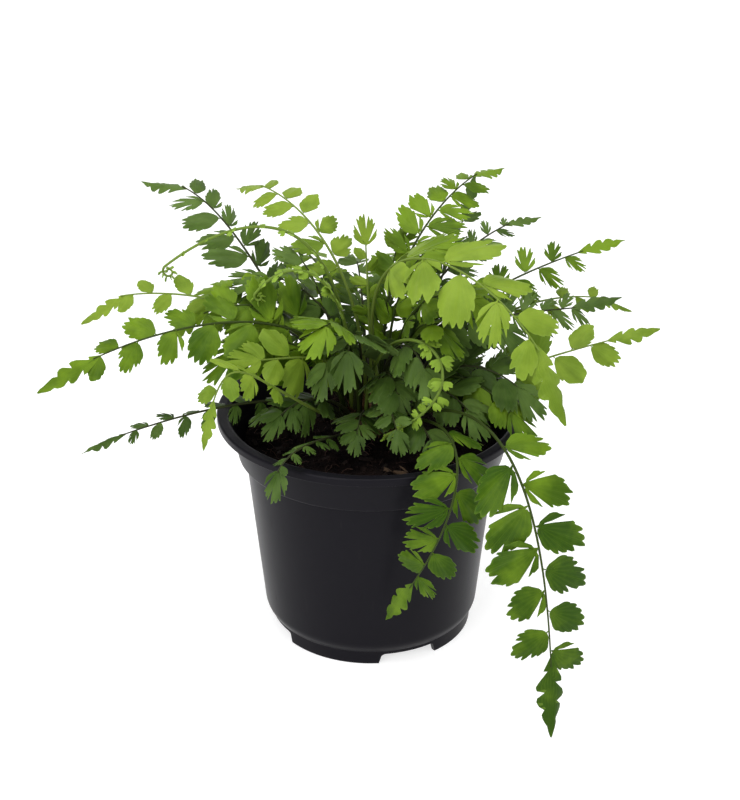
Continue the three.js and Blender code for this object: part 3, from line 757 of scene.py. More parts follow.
class FERN_OT_make_pot(bpy.types.Operator):
    """Makes the moulded pot with its brim, collar, arched foot ring and drain holes"""
    bl_idname = "fern.make_pot"
    bl_label = "Pot"

    def execute(self, context):
        settings = context.scene.fern_pot
        points, faces = turned(pot_outline(settings.wall / MM), settings.columns)
        mesh = mesh_from("nursery_pot", cut_arches(points), faces)
        thing = new_object("nursery_pot", mesh)
        drill(thing, drain_shapes())
        thing.data.materials.clear()
        thing.data.materials.append(pot_finish(settings))
        thing.data.shade_smooth()
        mark_sharp(thing.data, 60)
        finished(thing, "nursery_plastic", "pot")
        return {"FINISHED"}


def mark_sharp(mesh, angle):
    """Marks the edges whose faces meet at more than an angle in degrees."""
    work = bmesh.new()
    work.from_mesh(mesh)
    for edge in work.edges:
        if len(edge.link_faces) == 2 and edge.calc_face_angle(0) > math.radians(angle):
            edge.smooth = False
    work.to_mesh(mesh)
    work.free()


# ---- scattering -------------------------------------------------------------------------------
def scatter_tree():
    """Stands shapes from a collection on the object's faces, and keeps only the shapes."""
    inputs = (
        ("Surface", "Geometry"), ("Shapes", "Collection"), ("Density", "Float"), ("Smallest", "Float"),
        ("Largest", "Float"), ("Tilt", "Float"), ("Sink", "Float"), ("Seed", "Int"), ("Finish", "Material"),
    )
    net, given = new_tree("Scatter shapes", inputs, "Shapes")

    def between(low, high, seed):
        values = {"Min_001": low, "Max_001": high, "Seed": seed}
        return net.add("FunctionNodeRandomValue", {"data_type": "FLOAT"}, values, "Value_001")

    spots = net.add(
        "GeometryNodeDistributePointsOnFaces",
        values={"Mesh": given["Surface"], "Density": given["Density"], "Seed": given["Seed"]}, out=None,
    )
    tilt = given["Tilt"]
    low = net.add("ShaderNodeCombineXYZ", values={0: 0 - tilt, 1: 0 - tilt, 2: -math.pi})
    high = net.add("ShaderNodeCombineXYZ", values={0: tilt, 1: tilt, 2: math.pi})
    spin = net.add(
        "FunctionNodeRandomValue", {"data_type": "FLOAT_VECTOR"},
        {"Min": low, "Max": high, "Seed": given["Seed"] + 1},
    )
    spin = net.add("FunctionNodeEulerToRotation", values={0: spin})
    turn = net.add(
        "FunctionNodeRotateRotation", {"rotation_space": "LOCAL"},
        {"Rotation": Wire(net, spots.outputs["Rotation"]), "Rotate By": spin},
    )
    size = between(given["Smallest"], given["Largest"], given["Seed"] + 2)
    down = net.add(
        "ShaderNodeVectorMath", {"operation": "SCALE"},
        {0: Wire(net, spots.outputs["Normal"]), "Scale": 0 - given["Sink"]},
    )
    placed = net.add(
        "GeometryNodeSetPosition", values={"Geometry": Wire(net, spots.outputs["Points"]), "Offset": down}
    )
    picks = net.add(
        "GeometryNodeCollectionInfo",
        values={"Collection": given["Shapes"], "Separate Children": True, "Reset Children": True},
    )
    copies = net.add(
        "GeometryNodeInstanceOnPoints",
        values={
            "Points": placed, "Instance": picks, "Pick Instance": True, "Rotation": turn, "Scale": size,
        },
    )
    tint = between(0.0, 1.0, given["Seed"] + 3)
    marked = net.add(
        "GeometryNodeStoreNamedAttribute", {"data_type": "FLOAT", "domain": "INSTANCE"},
        {"Geometry": copies, "Name": "vary", "Value": tint},
    )
    real = net.add("GeometryNodeRealizeInstances", values={"Geometry": marked})
    painted = net.add("GeometryNodeSetMaterial", values={"Geometry": real, "Material": given["Finish"]})
    net.add("NodeGroupOutput", values={0: painted}, out=None)
    return net.tree


def lump(corners=12, squash=0.75):
    """A crumb: the hull of a few scattered points, one unit across."""
    work = bmesh.new()
    for _ in range(corners):
        spot = noise.random_unit_vector(size=3)
        work.verts.new((spot.x * 0.5, spot.y * 0.5, spot.z * 0.5 * squash))
    found = bmesh.ops.convex_hull(work, input=work.verts)
    spare = [v for v in found["geom_interior"] if isinstance(v, bmesh.types.BMVert)]
    bmesh.ops.delete(work, geom=spare, context="VERTS")
    bmesh.ops.recalc_face_normals(work, faces=work.faces)
    return worked("lump", work)


def fibre(bend, hook):
    """A bent root or coir fibre, one unit long, lying along X."""
    path, radii = [], []
    for i in range(7):
        t = i / 6
        path.append((t - 0.5, bend * math.sin(math.pi * t), hook * math.sin(2.6 * math.pi * t)))
        radii.append(0.018 * (1.2 - 0.6 * t))
    points, faces = tube(path, radii, 4)
    return mesh_from("fibre", points, faces, scale=1)


def chip(ragged):
    """A flat splinter of bark, one unit long."""
    work = bmesh.new()
    bmesh.ops.create_cube(work, size=1)
    bmesh.ops.scale(work, vec=(1, 0.42, 0.16), verts=work.verts)
    bmesh.ops.subdivide_edges(work, edges=work.edges, cuts=1, use_grid_fill=True)
    for vert in work.verts:
        vert.co += noise.noise_vector(vert.co * 3 + Vector((ragged, 0, 0))) * 0.11
    return worked("chip", work)


# ---- potting mix ------------------------------------------------------------------------------
SOIL_COLUMNS = 132
SOIL_ROWS = 38
SOIL_FALL = 1.2  # the mix drops a little where it meets the pot


def soil_height(x, y, lumps):
    """Height of the mix at a place, with lumps in millimetres."""
    reach = math.hypot(x, y)
    if reach < SOIL_SHOULDER:
        base = SOIL_MIDDLE - SOIL_DIP * reach / SOIL_SHOULDER
    else:
        share = (reach - SOIL_SHOULDER) / (COLLAR_FOOT - SOIL_SHOULDER)
        base = SOIL_MIDDLE - SOIL_DIP - (SOIL_MIDDLE - SOIL_DIP - SOIL_EDGE) * share
    rough = noise.noise((x / 14, y / 14, 0.3)) + 0.6 * noise.noise((x / 5, y / 5, 4.1))
    return base + lumps * (rough + 0.35 * noise.noise((x / 2, y / 2, 8.7)) - 0.2)


def pot_wall():
    """The pot's wall in millimetres, which the mix follows."""
    return bpy.context.scene.fern_pot.wall / MM


def soil_outline(wall):
    """The mix's closed outline, up its side and then in over its top."""
    foot = FLOOR + GAP
    well = HUB - wall - GAP
    low = STEP_HEIGHT + 1
    brink = COLLAR_FOOT_HEIGHT - 0.6
    edge = inside_radius(COLLAR_FOOT_HEIGHT, wall) + 1.2
    side = [
        (0, wall + GAP), (well, wall + GAP), (well, foot), (inside_radius(low, wall) - 2.4, foot),
        (inside_radius(low, wall) - GAP, low + 1), (inside_radius(brink, wall) - GAP, brink),
        (edge, brink + 2.4), (edge, SOIL_EDGE - SOIL_FALL),
    ]
    top = [(edge * (1 - i / SOIL_ROWS), SOIL_EDGE) for i in range(1, SOIL_ROWS)]
    return side + top + [(0, SOIL_MIDDLE)]


def soil_shape(lumps):
    """Points and faces of the whole mix, with its top raised to its real height."""
    points, faces = turned(soil_outline(pot_wall()), SOIL_COLUMNS)
    for point in points:
        if point[2] > SOIL_EDGE - 0.01:
            point[2] = soil_height(point[0], point[1], lumps / MM)
    return points, faces


def soil_finish(settings):
    """Damp peat: near black, browner on dry crumbs and fibres."""
    net = Finish("potting_mix")
    vary = net.attribute("vary")
    blotch = net.noise(90, 4).step(0.42, 0.66)
    fine = net.noise(1300, 4, 0.65)
    tint = net.mix(blotch * 0.45 + fine.step(0.5, 0.75) * 0.35 + vary * 0.35, settings.damp, settings.dry)
    return net.done(
        Base_Color=tint, Roughness=0.94 - blotch * 0.06, Specular_IOR_Level=0.05,
        Normal=net.bump(fine + net.noise(420, 3) * 1.5, 0.7, 0.0006),
    )


def fibre_finish(name, tint):
    """Stringy coir or bark with a lengthwise streak."""
    net = Finish(name)
    vary = net.attribute("vary")
    streak = net.noise(900, 3, stretch=(1, 0.4, 1))
    shade = net.mix(vary * 0.75 + streak * 0.25, [c * 0.32 for c in tint], tint)
    return net.done(
        Base_Color=shade, Roughness=0.78 + streak * 0.15, Specular_IOR_Level=0.15,
        Normal=net.bump(streak, 0.5, 0.0003),
    )


def soil_top(settings, keep):
    """The mix's upper faces alone, where keep says so of a face's middle."""
    points, faces = soil_shape(settings.lumps)
    kept = []
    for face in faces:
        middle = np.mean([points[v] for v in face], axis=0)
        if middle[2] > SOIL_EDGE - 2.5 and keep(middle[0], middle[1]):
            kept.append(face)
    return mesh_from("soil_top", points, kept)


def off_crown(x, y):
    return math.hypot(x - CROWN_PLACE[0], y - CROWN_PLACE[1]) > CROWN_RADIUS - 1


class FERN_OT_make_soil(bpy.types.Operator):
    """Makes the potting mix with its crumbs, fibres and bark chips"""
    bl_idname = "fern.make_soil"
    bl_label = "Potting mix"

    def execute(self, context):
        settings = context.scene.fern_soil
        bed = new_object("soil_bed", mesh_from("soil_bed", *soil_shape(settings.lumps)))
        bed.data.shade_smooth()
        finish = soil_finish(settings)
        bed.data.materials.append(finish)
        finished(bed, "potting_mix", "potting_mix")

        noise.seed_set(settings.seed)
        tree = scatter_tree()
        crumb = settings.crumb
        kinds = (
            ("soil_crumbs", [lump() for _ in range(6)], finish, settings.crumb_density,
             crumb * 0.16, crumb * 0.8, 0.5, -0.0001, settings.seed),
            ("soil_lumps", [lump(14, 0.8) for _ in range(4)], finish, settings.chip_density,
             crumb * 0.8, crumb * 1.5, 0.5, 0.0, settings.seed + 10),
            ("soil_fibres", [fibre(0.16, 0.05), fibre(-0.3, 0.08), fibre(0.05, -0.06)],
             fibre_finish("coir", settings.fibre), settings.fibre_density,
             0.003, 0.011, 0.28, -0.0004, settings.seed + 20),
            ("bark_chips", [chip(1), chip(5), chip(9)],
             fibre_finish("bark", settings.dry), settings.chip_density,
             0.003, 0.0075, 0.35, -0.0003, settings.seed + 30),
        )
        for name, shapes, look, density, smallest, largest, tilt, sink, seed in kinds:
            picks = gathered(name + "_shape", shapes)
            thing = new_object(name, soil_top(settings, off_crown))
            with_nodes(
                thing, tree, Shapes=picks, Density=density, Smallest=smallest, Largest=largest,
                Tilt=tilt, Sink=sink, Seed=seed, Finish=look,
            )
            dropped(picks)
            finished(thing, "potting_mix")
        return {"FINISHED"}


# ---- crown ------------------------------------------------------------------------------------
CROWN_COLUMNS = 48
CROWN_RINGS = 14
STUBS = 9
FIRST_STUB = 25
STUB_TILT = 38
STUB_LENGTH = 6.5
STUB_SHARES = (0, 0.35, 0.7, 0.97, 1)  # of its length, at each of its radii
STUB_RADII = (1.35, 1.15, 1.0, 0.95, 0.6)


def crown_points():
    """A lumpy dome with a closed underside."""
    foot = SOIL_MIDDLE - 1.5
    outline = [(0, foot), (CROWN_RADIUS, foot)]
    for i in range(CROWN_RINGS):
        tilt = math.radians(i * 90 / CROWN_RINGS)
        outline.append((CROWN_RADIUS * math.cos(tilt), SOIL_MIDDLE + GAP + CROWN_HEIGHT * math.sin(tilt)))
    outline.append((0, SOIL_MIDDLE + GAP + CROWN_HEIGHT))
    points, faces = turned(outline, CROWN_COLUMNS)
    for point in points:
        dent = 1 - 0.1 * (0.6 + noise.noise((point[0] / 5, point[1] / 5, point[2] / 5)))
        point[:2] *= dent
    points[:, 0] += CROWN_PLACE[0]
    points[:, 1] += CROWN_PLACE[1]
    return points, faces


def scale_shape(curve):
    """A papery scale one unit long that stands on its base and leans over."""
    points, faces = [], []
    widths = (0.1, 0.17, 0.15, 0.09, 0.0)
    for side in (1, -1):
        for i, width in enumerate(widths):
            t = i / (len(widths) - 1)
            lean = curve * t * t
            points.append((-width, lean + 0.015 * side, t))
            points.append((width, lean + 0.015 * side, t))
    count = 2 * len(widths)
    for i in range(len(widths) - 1):
        a = 2 * i
        faces.append((a, a + 2, a + 3, a + 1))
        faces.append((count + a, count + a + 1, count + a + 3, count + a + 2))
        faces.append((a, count + a, count + a + 2, a + 2))
        faces.append((a + 1, a + 3, count + a + 3, count + a + 1))
    faces.append((0, 1, count + 1, count))
    faces.append((count - 2, 2 * count - 2, 2 * count - 1, count - 1))
    mesh = mesh_from("scale_shape", points, faces, scale=1)
    work = bmesh.new()
    work.from_mesh(mesh)
    bmesh.ops.remove_doubles(work, verts=work.verts, dist=0.001)
    bmesh.ops.recalc_face_normals(work, faces=work.faces)
    work.to_mesh(mesh)
    work.free()
    return mesh


def crown_finish(settings):
    """Fibrous brown rootstock."""
    net = Finish("crown_flesh")
    fibres = net.noise(700, 4, 0.6, stretch=(1, 1, 0.3))
    tint = net.mix(fibres.step(0.35, 0.7), settings.flesh, settings.scale)
    return net.done(
        Base_Color=tint, Roughness=0.82 + fibres * 0.12, Specular_IOR_Level=0.3,
        Normal=net.bump(fibres, 0.8, 0.0006),
    )


class FERN_OT_make_crown(bpy.types.Operator):
    """Makes the crown with its papery scales and the stubs of old fronds"""
    bl_idname = "fern.make_crown"
    bl_label = "Crown"

    def execute(self, context):
        settings = context.scene.fern_crown
        points, faces = crown_points()
        body = new_object("crown_body", mesh_from("crown_body", points, faces))
        body.data.shade_smooth()
        body.data.materials.append(crown_finish(settings))
        finished(body, "crown", "crown")

        picks = gathered("scale_shape", [scale_shape(0.25), scale_shape(0.5), scale_shape(-0.15)])
        thing = new_object("crown_scales", mesh_from("crown_skin", points, faces[CROWN_COLUMNS:]))
        with_nodes(
            thing, scatter_tree(), Shapes=picks, Density=settings.scale_density,
            Smallest=settings.scale_length * 0.35, Largest=settings.scale_length, Tilt=0.7,
            Sink=0.0003, Seed=settings.seed,
            Finish=fibre_finish("papery_scale", settings.scale),
        )
        dropped(picks)
        finished(thing, "crown")
        finished(self.stubs(settings), "crown")
        return {"FINISHED"}

    def stubs(self, settings):
        """The cut ends of old stalks, standing out between the fronds."""
        stubs = []
        for i in range(STUBS):
            turn = math.radians(FIRST_STUB + i * 360 / STUBS + 14 * scatter(i, 2))
            tilt = math.radians(STUB_TILT + 24 * scatter(i, 5))
            out = Vector((math.cos(turn) * math.cos(tilt), math.sin(turn) * math.cos(tilt), math.sin(tilt)))
            base = Vector((CROWN_PLACE[0], CROWN_PLACE[1], SOIL_MIDDLE + 1)) + out * (CROWN_RADIUS - 4)
            reach = STUB_LENGTH + 3 * scatter(i, 9)
            path = [base + out * reach * t + Vector((0, 0, 1)) * t * t for t in STUB_SHARES]
            stubs.append(tube(path, STUB_RADII, 10))
        mesh = mesh_from("crown_stubs", *joined(stubs))
        mesh.shade_smooth()
        mesh.materials.append(fibre_finish("old_stalk", settings.scale))
        return new_object("crown_stubs", mesh)


# ---- leaflet shapes ---------------------------------------------------------------------------
def fan_leaflet(name, outline):
    """A closed leaflet, one unit long on X and one wide on Y, with its stem end at the origin.

    Rows run out along the radius, and columns across. Its points know how far along (run),
    across (side) and out (rim) they are, and which face they are on (under)."""
    columns = outline.teeth * LEAF_COLUMNS_PER_TOOTH
    flat, uvs, rims = [], [], []
    for share in LEAF_ROWS:
        for column in range(columns + 1):
            s = 2 * column / columns - 1
            phase = (s + 1) / 2 * outline.teeth
            radius = outline.shoulder + (1 - outline.shoulder) * (1 - abs(s) ** outline.full)
            ragged = 1 + 1.4 * scatter(int(phase), outline.teeth)
            tooth = abs(math.sin(math.pi * phase))
            radius *= 1 - outline.bite * ragged * (1 - tooth ** 0.5)
            radius *= 1 + UNEVEN_TEETH * scatter(int(phase) + 7, outline.teeth) * tooth
            for place, depth, half in outline.cuts:
                radius *= 1 - depth * max(0, 1 - abs(phase - place) / half) ** 0.75
            if share < STEM_END:
                flat.append((share, s * STEM_HALF_WIDTH))
                radius = 1
            else:
                turn = math.radians(outline.spread) * s * (NARROW_BASE if share < BASE_END else 1)
                flat.append((share * radius * math.cos(turn), share * radius * math.sin(turn)))
            uvs.append((0.5 + 0.5 * s, share * radius))
            rims.append(share)
    flat = np.array(flat)
    flat[:, 0] /= flat[:, 0].max()
    blade = np.array(rims) > STEM_END
    flat[blade, 1] /= 2 * np.abs(flat[:, 1]).max()
    half = [1.1 if rim < STEM_END else 0.5 - 0.26 * rim ** 3 for rim in rims]
    return plate(name, flat, half, uvs, rims, columns + 1, len(LEAF_ROWS))


def tip_leaflet(name):
    """The end of a frond, lobed on alternate sides, in the same units as a fan leaflet."""
    rows = TIP_TEETH * 4 + 1
    across = (-1, -0.5, 0, 0.5, 1)
    flat, uvs, rims = [], [], []
    for row in range(rows):
        t = row / (rows - 1)
        swell = max(0, math.sin(math.pi * t ** 0.62)) ** 0.85
        for s in across:
            phase = TIP_TEETH * t + (0.5 if s < 0 else 0)
            lobe = swell * (1 - (0.8 - 0.6 * t) * (1 - abs(math.sin(math.pi * phase)) ** 0.5))
            flat.append((t + 0.2 * abs(s) * lobe * (1 - t), 0.5 * s * max(0.05, lobe)))
            uvs.append((0.5 + 0.5 * s, t))
            rims.append(abs(s) ** 3)
    half = [0.5 - 0.2 * rim for rim in rims]
    return plate(name, np.array(flat), half, uvs, rims, len(across), rows)


def plate(name, flat, half, uvs, rims, columns, rows):
    """Closes a grid of flat points into a thin plate, its edge sharp."""
    count = len(flat)
    points = [(x, y, h) for (x, y), h in zip(flat, half)] + [(x, y, -h) for (x, y), h in zip(flat, half)]
    faces = []
    for row in range(rows - 1):
        for column in range(columns - 1):
            a = row * columns + column
            face = (a, a + columns, a + columns + 1, a + 1)
            faces.append(face)
            faces.append(tuple(count + v for v in reversed(face)))
    border = list(range(columns))
    border += [row * columns + columns - 1 for row in range(1, rows)]
    border += [(rows - 1) * columns + column for column in range(columns - 2, -1, -1)]
    border += [row * columns for row in range(rows - 2, 0, -1)]
    for i, a in enumerate(border):
        b = border[(i + 1) % len(border)]
        faces.append((a, b, count + b, count + a))
    mesh = mesh_from(name, points, faces, scale=1)
    work = bmesh.new()
    work.from_mesh(mesh)
    bmesh.ops.recalc_face_normals(work, faces=work.faces)
    work.verts.ensure_lookup_table()
    for i, a in enumerate(border):
        b = border[(i + 1) % len(border)]
        for low in (0, count):
            edge = work.edges.get((work.verts[low + a], work.verts[low + b]))
            edge.smooth = False
    work.to_mesh(mesh)
    work.free()
    layer = mesh.uv_layers.new(name="fan")
    for loop in mesh.loops:
        layer.data[loop.index].uv = uvs[loop.vertex_index % count]
    put(mesh, "run", [x for x, y in flat] * 2)
    put(mesh, "side", [2 * y for x, y in flat] * 2)
    put(mesh, "rim", list(rims) * 2)
    put(mesh, "under", [0.0] * count + [1.0] * count)
    mesh.shade_smooth()
    return mesh


def leaf_shapes():
    meshes = [fan_leaflet("leaflet_" + name, outline) for name, outline in OUTLINES.items()]
    return gathered("leaflet_shape", meshes + [tip_leaflet("leaflet_tip")])


SHAPE_NUMBER = {name: i for i, name in enumerate([*OUTLINES, "tip"])}


# ---- fronds -----------------------------------------------------------------------------------
def scatter(a, b):
    """A number from -0.5 to 0.5 that is the same for the same pair of counts.

    Most uses add a number of their own to the first count, so that they differ."""
    wave = math.sin(a * 12.9898 + b * 78.233) * 43758.5453
    return wave - math.floor(wave) - 0.5


def around(bearing, reach, height):
    turn = math.radians(bearing)
    return np.array([
        CROWN_PLACE[0] + reach * math.cos(turn), CROWN_PLACE[1] + reach * math.sin(turn), height,
    ])


def seats():
    """Where each frond leaves the crown: each ring in the order of the fronds' bearings."""
    found = {}
    for level, (ring_tilt, even) in enumerate(SEAT_RINGS):
        members = sorted((f for f in FRONDS if f.ring == level), key=lambda f: f.path[0][0])
        tilt = math.radians(ring_tilt)
        reach = (CROWN_RADIUS + STALK_RADIUS) * math.cos(tilt) + SEAT_GAP
        height = SOIL_MIDDLE + SEAT_LIFT + (CROWN_HEIGHT + STALK_RADIUS) * math.sin(tilt)
        for i, frond in enumerate(members):
            bearing = i * 360 / len(members) + FIRST_SEAT if even else frond.path[0][0]
            found[frond.name] = around(bearing, reach, height)
    return found


class Stalk:
    """A frond's Bezier curve, walked by its share of arc length."""

    def __init__(self, frond, seat):
        self.corners = np.array([seat] + [around(*spot) for spot in frond.path])
        self.roll = math.radians(frond.roll)
        marks = np.array([self.point(i / ARC_DIVISIONS) for i in range(ARC_DIVISIONS + 1)])
        steps = np.linalg.norm(np.diff(marks, axis=0), axis=1)
        self.lengths = np.concatenate([[0], np.cumsum(steps)])
        self.facets = max(FEWEST_FACETS, int(self.lengths[-1] / STALK_PITCH + 0.5))

    def point(self, t):
        a, b, c, d = self.corners
        return (1 - t) ** 3 * a + 3 * (1 - t) ** 2 * t * b + 3 * (1 - t) * t * t * c + t ** 3 * d

    def slope(self, t):
        a, b, c, d = self.corners
        way = (1 - t) ** 2 * (b - a) + 2 * (1 - t) * t * (c - b) + t * t * (d - c)
        return way / np.linalg.norm(way)

    def time(self, u):
        marks = np.arange(ARC_DIVISIONS + 1) / ARC_DIVISIONS
        return float(np.interp(u * self.lengths[-1], self.lengths, marks))

    def chord(self, u):
        """The point at a share u on the faceted stalk of the solid."""
        facet = min(self.facets - 1, int(u * self.facets))
        near, far = (self.point(self.time((facet + k) / self.facets)) for k in (0, 1))
        return near + (far - near) * (u * self.facets - facet)

    def axes(self, u):
        """The stalk's direction, the way its leaflets face and the side they spread to."""
        along = self.slope(self.time(u))
        here = self.chord(u)
        outward = np.array([here[0], here[1], 0])
        outward *= max(0, -along[2]) / max(1e-9, np.linalg.norm(outward))
        face = np.array([0, 0, 1]) + outward
        face -= along * face.dot(along)
        face /= np.linalg.norm(face)
        side = np.cross(along, face)
        face = face * math.cos(self.roll) + side * math.sin(self.roll)
        return along, face, np.cross(along, face)


# Leaflets along a frond, as on its solid. Shares are of the leafy stretch, and sizes are over leaf.
FIRST_SIZE = 0.78  # of the lowest leaflet
FULL_AT = 0.25  # share where leaflets are full size
SHRINK = 0.62
SHRINK_POWER = 1.5
UNEVEN_SIZE = 0.16
MIDDLE_SHAPES = 0.36  # share where the middle shapes start
LAST_SHAPES = 0.74
SPLAY = 68  # of the lowest leaflet, from the stalk
SPLAY_DROP = 26
UNEVEN_SPLAY = 14
LIFT = -8
UNEVEN_LIFT = 22
DROOP = 0.16
UNEVEN_DROOP = 0.1
TIP_AT = 0.98  # share of the whole stalk
TIP_SIZE = 0.42
TIP_WIDE = 0.55
TIP_DROOP = 0.1
TIP_MARK = 99  # stands for the last leaflet's count in its scatter

FULLNESS = 1.04  # width over that of the solid's plain leaflets, which have no notches
MATCH = 0.45  # how close a solid's corner is to the end of a leaflet that it has
LAST_START = 0.85  # share of the stalk where the last leaflet starts
LAST_OVERLAP = 0.02  # how much further the stalk goes on under it
LAST_LEAF_ON_CURL = 0.97
LAST_WIDE = 0.38
LAST_DROOP = 0.04
SHORT_FROND = 112  # a shorter stalk ends in a broader leaflet
SHORT_LAST_WIDE = 0.74
STALK_STEP = 3.0
FEWEST_STEPS = 12
STALK_TAPER = 0.8
HEART_HEIGHT = 2  # of the point that stalks grow from, over the mix
ROOT_REACH = 0.35  # share of the way from a seat to that point where the stalk starts
CROZIER_RADIUS = 0.85  # of an unrolling stalk at its foot
CURL_RADIUS = 0.6  # and where it starts to curl
CURL_END = 0.6  # its radius at the heart of the curl, over that
CURL_STEPS = 22  # in each turn
CURL_CLOSES = 0.8  # how much of its reach a spiral has lost at its heart
CURL_POWER = 0.8
CURL_BUD = 3.6
CROZIER_PAIRS = 6
BUD_WIDE = 0.8
CUP = 0.09  # how far a leaflet's sides bend down, over its length
UNEVEN_CUP = 0.16
WAVE_START = 6.3  # radians over which the waves of leaflets start

# How light a leaflet is, from 0 for the dark colour of its age to 1 for the light one: partly its own tone,
# lighter towards the tip and a little uneven, partly painted light high over the mix and painted shade on
# hanging fronds.
LEAST_FRESH = 0.12
PAINTED_LIGHT_ABOVE = 0.55  # painted light, gained up to LIT_HEIGHT over the mix
LIT_HEIGHT = 80
FRESH_OUT = 0.25  # gained towards the tip
UNEVEN_FRESH = 0.55
HANGING_SHADE = 0.1  # painted shade, lost by a frond whose end hangs lower than the mix
UNOPENED_FRESH = 0.8
CURL_FRESH = 0.9

# A loose point of the carrier, which the tree puts a leaflet on.
Spot = namedtuple("Spot", "here axis top length width shape droop fresh")


def leaf_size(share):
    """Leaflets grow over the first part of the leafy stretch, then shrink to the tip."""
    grown = FIRST_SIZE + (1 - FIRST_SIZE) * min(1, share / FULL_AT)
    return grown * (1 - SHRINK * share ** SHRINK_POWER)


def leaflets(frond, index):
    """Every leaflet that a frond may have, with the same scatter as its solid."""
    shapes = CUTS[frond.cut]
    for k in range(frond.count):
        share = k / frond.count
        size = leaf_size(share) * (1 + UNEVEN_SIZE * scatter(k, index))
        stage = 0 if share < MIDDLE_SHAPES else 1 if share < LAST_SHAPES else 2
        yield {
            "u": frond.bare + (1 - frond.bare) * share, "hand": 1 if k % 2 else -1, "share": share,
            "length": frond.leaf * size, "width": FULLNESS * frond.leaf * frond.wide * size,
            "splay": SPLAY - SPLAY_DROP * share + UNEVEN_SPLAY * scatter(k + 31, index),
            "lift": LIFT + UNEVEN_LIFT * scatter(k + 57, index),
            "droop": DROOP + UNEVEN_DROOP * scatter(k + 83, index),
            "shape": SHAPE_NUMBER[shapes[stage][k % len(shapes[stage])]], "mark": (k, index),
        }
    tip = frond.leaf * TIP_SIZE
    yield {
        "u": TIP_AT, "hand": 1, "share": 1, "length": tip, "width": tip * TIP_WIDE, "splay": 0,
        "lift": 0, "droop": TIP_DROOP, "shape": SHAPE_NUMBER["tip"], "mark": (TIP_MARK, index),
    }


def leaf_axes(stalk, leaf, lift):
    """A leaflet's own direction and the way its upper face points."""
    along, face, side = stalk.axes(leaf["u"])
    turn = math.radians(leaf["lift"] + lift)
    splay = math.radians(leaf["splay"])
    spread = side * leaf["hand"] * math.cos(turn) + face * math.sin(turn)
    top = face * math.cos(turn) - side * leaf["hand"] * math.sin(turn)
    return along * math.cos(splay) + spread * math.sin(splay), top


def placed_leaflets(frond, index, stalk):
    """The leaflets that the frond's solid has, each turned as it is there."""
    solid = frame["nodes"]["frond_" + frond.name].data
    corners = np.array([v.co for v in solid.vertices]) / MM
    leaf_end = LAST_START if frond.name not in CURLS else LAST_LEAF_ON_CURL
    for leaf in leaflets(frond, index):
        best = (MATCH, None)
        for lift in LIFTS:
            axis, top = leaf_axes(stalk, leaf, lift)
            end = stalk.chord(leaf["u"]) + (axis - top * leaf["droop"]) * leaf["length"]
            for face in (0.5, -0.5):
                gap = np.linalg.norm(corners - (end + top * face * BLADE_THICKNESS), axis=1).min()
                if gap < best[0] - 1e-3:
                    best = (gap, (axis, top))
        if best[1] and leaf["u"] < leaf_end:
            yield stalk.point(stalk.time(leaf["u"])), leaf, *best[1]
    if frond.name not in CURLS:
        yield last_leaflet(stalk, leaf)


def last_leaflet(stalk, leaf):
    """The long lobed leaflet that ends a frond where its solid ends."""
    axis, top = leaf_axes(stalk, leaf, 0)
    end = stalk.chord(leaf["u"]) + (axis - top * leaf["droop"]) * leaf["length"]
    here = stalk.point(stalk.time(LAST_START))
    way = end - here
    size = np.linalg.norm(way)
    axis = way / size
    top = top - axis * top.dot(axis)
    changes = {
        "length": size, "width": min(LAST_WIDE * size, leaf["length"]), "droop": LAST_DROOP,
    }
    if stalk.lengths[-1] < SHORT_FROND:
        changes |= {"width": SHORT_LAST_WIDE * size, "shape": SHAPE_NUMBER["three_cuts"]}
    return here, {**leaf, **changes}, axis, top / np.linalg.norm(top)


def curled(end, along, inward, turns, radius):
    """A spiral that carries a stalk on past its end, and the way out from the spiral's middle."""
    middle = end + inward * radius
    steps = int(CURL_STEPS * turns)
    for i in range(1, steps + 1):
        angle = 2 * math.pi * turns * i / steps
        reach = radius * (1 - CURL_CLOSES * (i / steps) ** CURL_POWER)
        out = -inward * math.cos(angle) + along * math.sin(angle)
        yield middle + out * reach, out


def unopened(frond, stalk):
    """Pairs of small leaflets, still folded, along an unrolling stalk."""
    for i in range(CROZIER_PAIRS):
        share = (i + 0.5) / CROZIER_PAIRS
        u = frond.bare + (LAST_LEAF_ON_CURL - frond.bare) * share
        along, face, side = stalk.axes(u)
        for hand in (1, -1):
            size = frond.leaf * (0.8 - 0.3 * share) * (1 + 0.4 * scatter(i, hand))
            axis = along * 0.6 + side * hand * 0.75 + face * 0.25
            top = face - side * hand * 0.3
            here = stalk.point(stalk.time(u))
            yield Spot(here, axis, top, size, size * BUD_WIDE, SHAPE_NUMBER["bud"], 0.2, UNOPENED_FRESH)


def curl_buds(spiral, face, side):
    """Small leaflets, still folded, along every second point of a spiral."""
    held = spiral[2::2]
    for k, (here, out) in enumerate(held):
        size = CURL_BUD * (1 - 0.5 * k / len(held))
        hand = 1 if k % 2 else -1
        axis = out * 0.75 + side * hand * 0.65
        yield Spot(here, axis, face + out, size, size * BUD_WIDE, SHAPE_NUMBER["bud"], 0.1, CURL_FRESH)


def freshness_and_painted_light(here, leaf, shade):
    """Painted light makes leaflets lighter high up, and painted shade (shade) makes them darker; they are
    fresher near the tip, and a little uneven.
    """
    k, index = leaf["mark"]
    # Painted light: a leaflet is painted lighter the higher it stands over the mix, up to LIT_HEIGHT; shade
    # is painted shade.
    above = min(1, max(0, (here[2] - SOIL_EDGE) / LIT_HEIGHT))
    fresh = LEAST_FRESH + PAINTED_LIGHT_ABOVE * above + FRESH_OUT * leaf["share"]
    return min(1, max(0, fresh + UNEVEN_FRESH * scatter(k + 11, index) - shade))


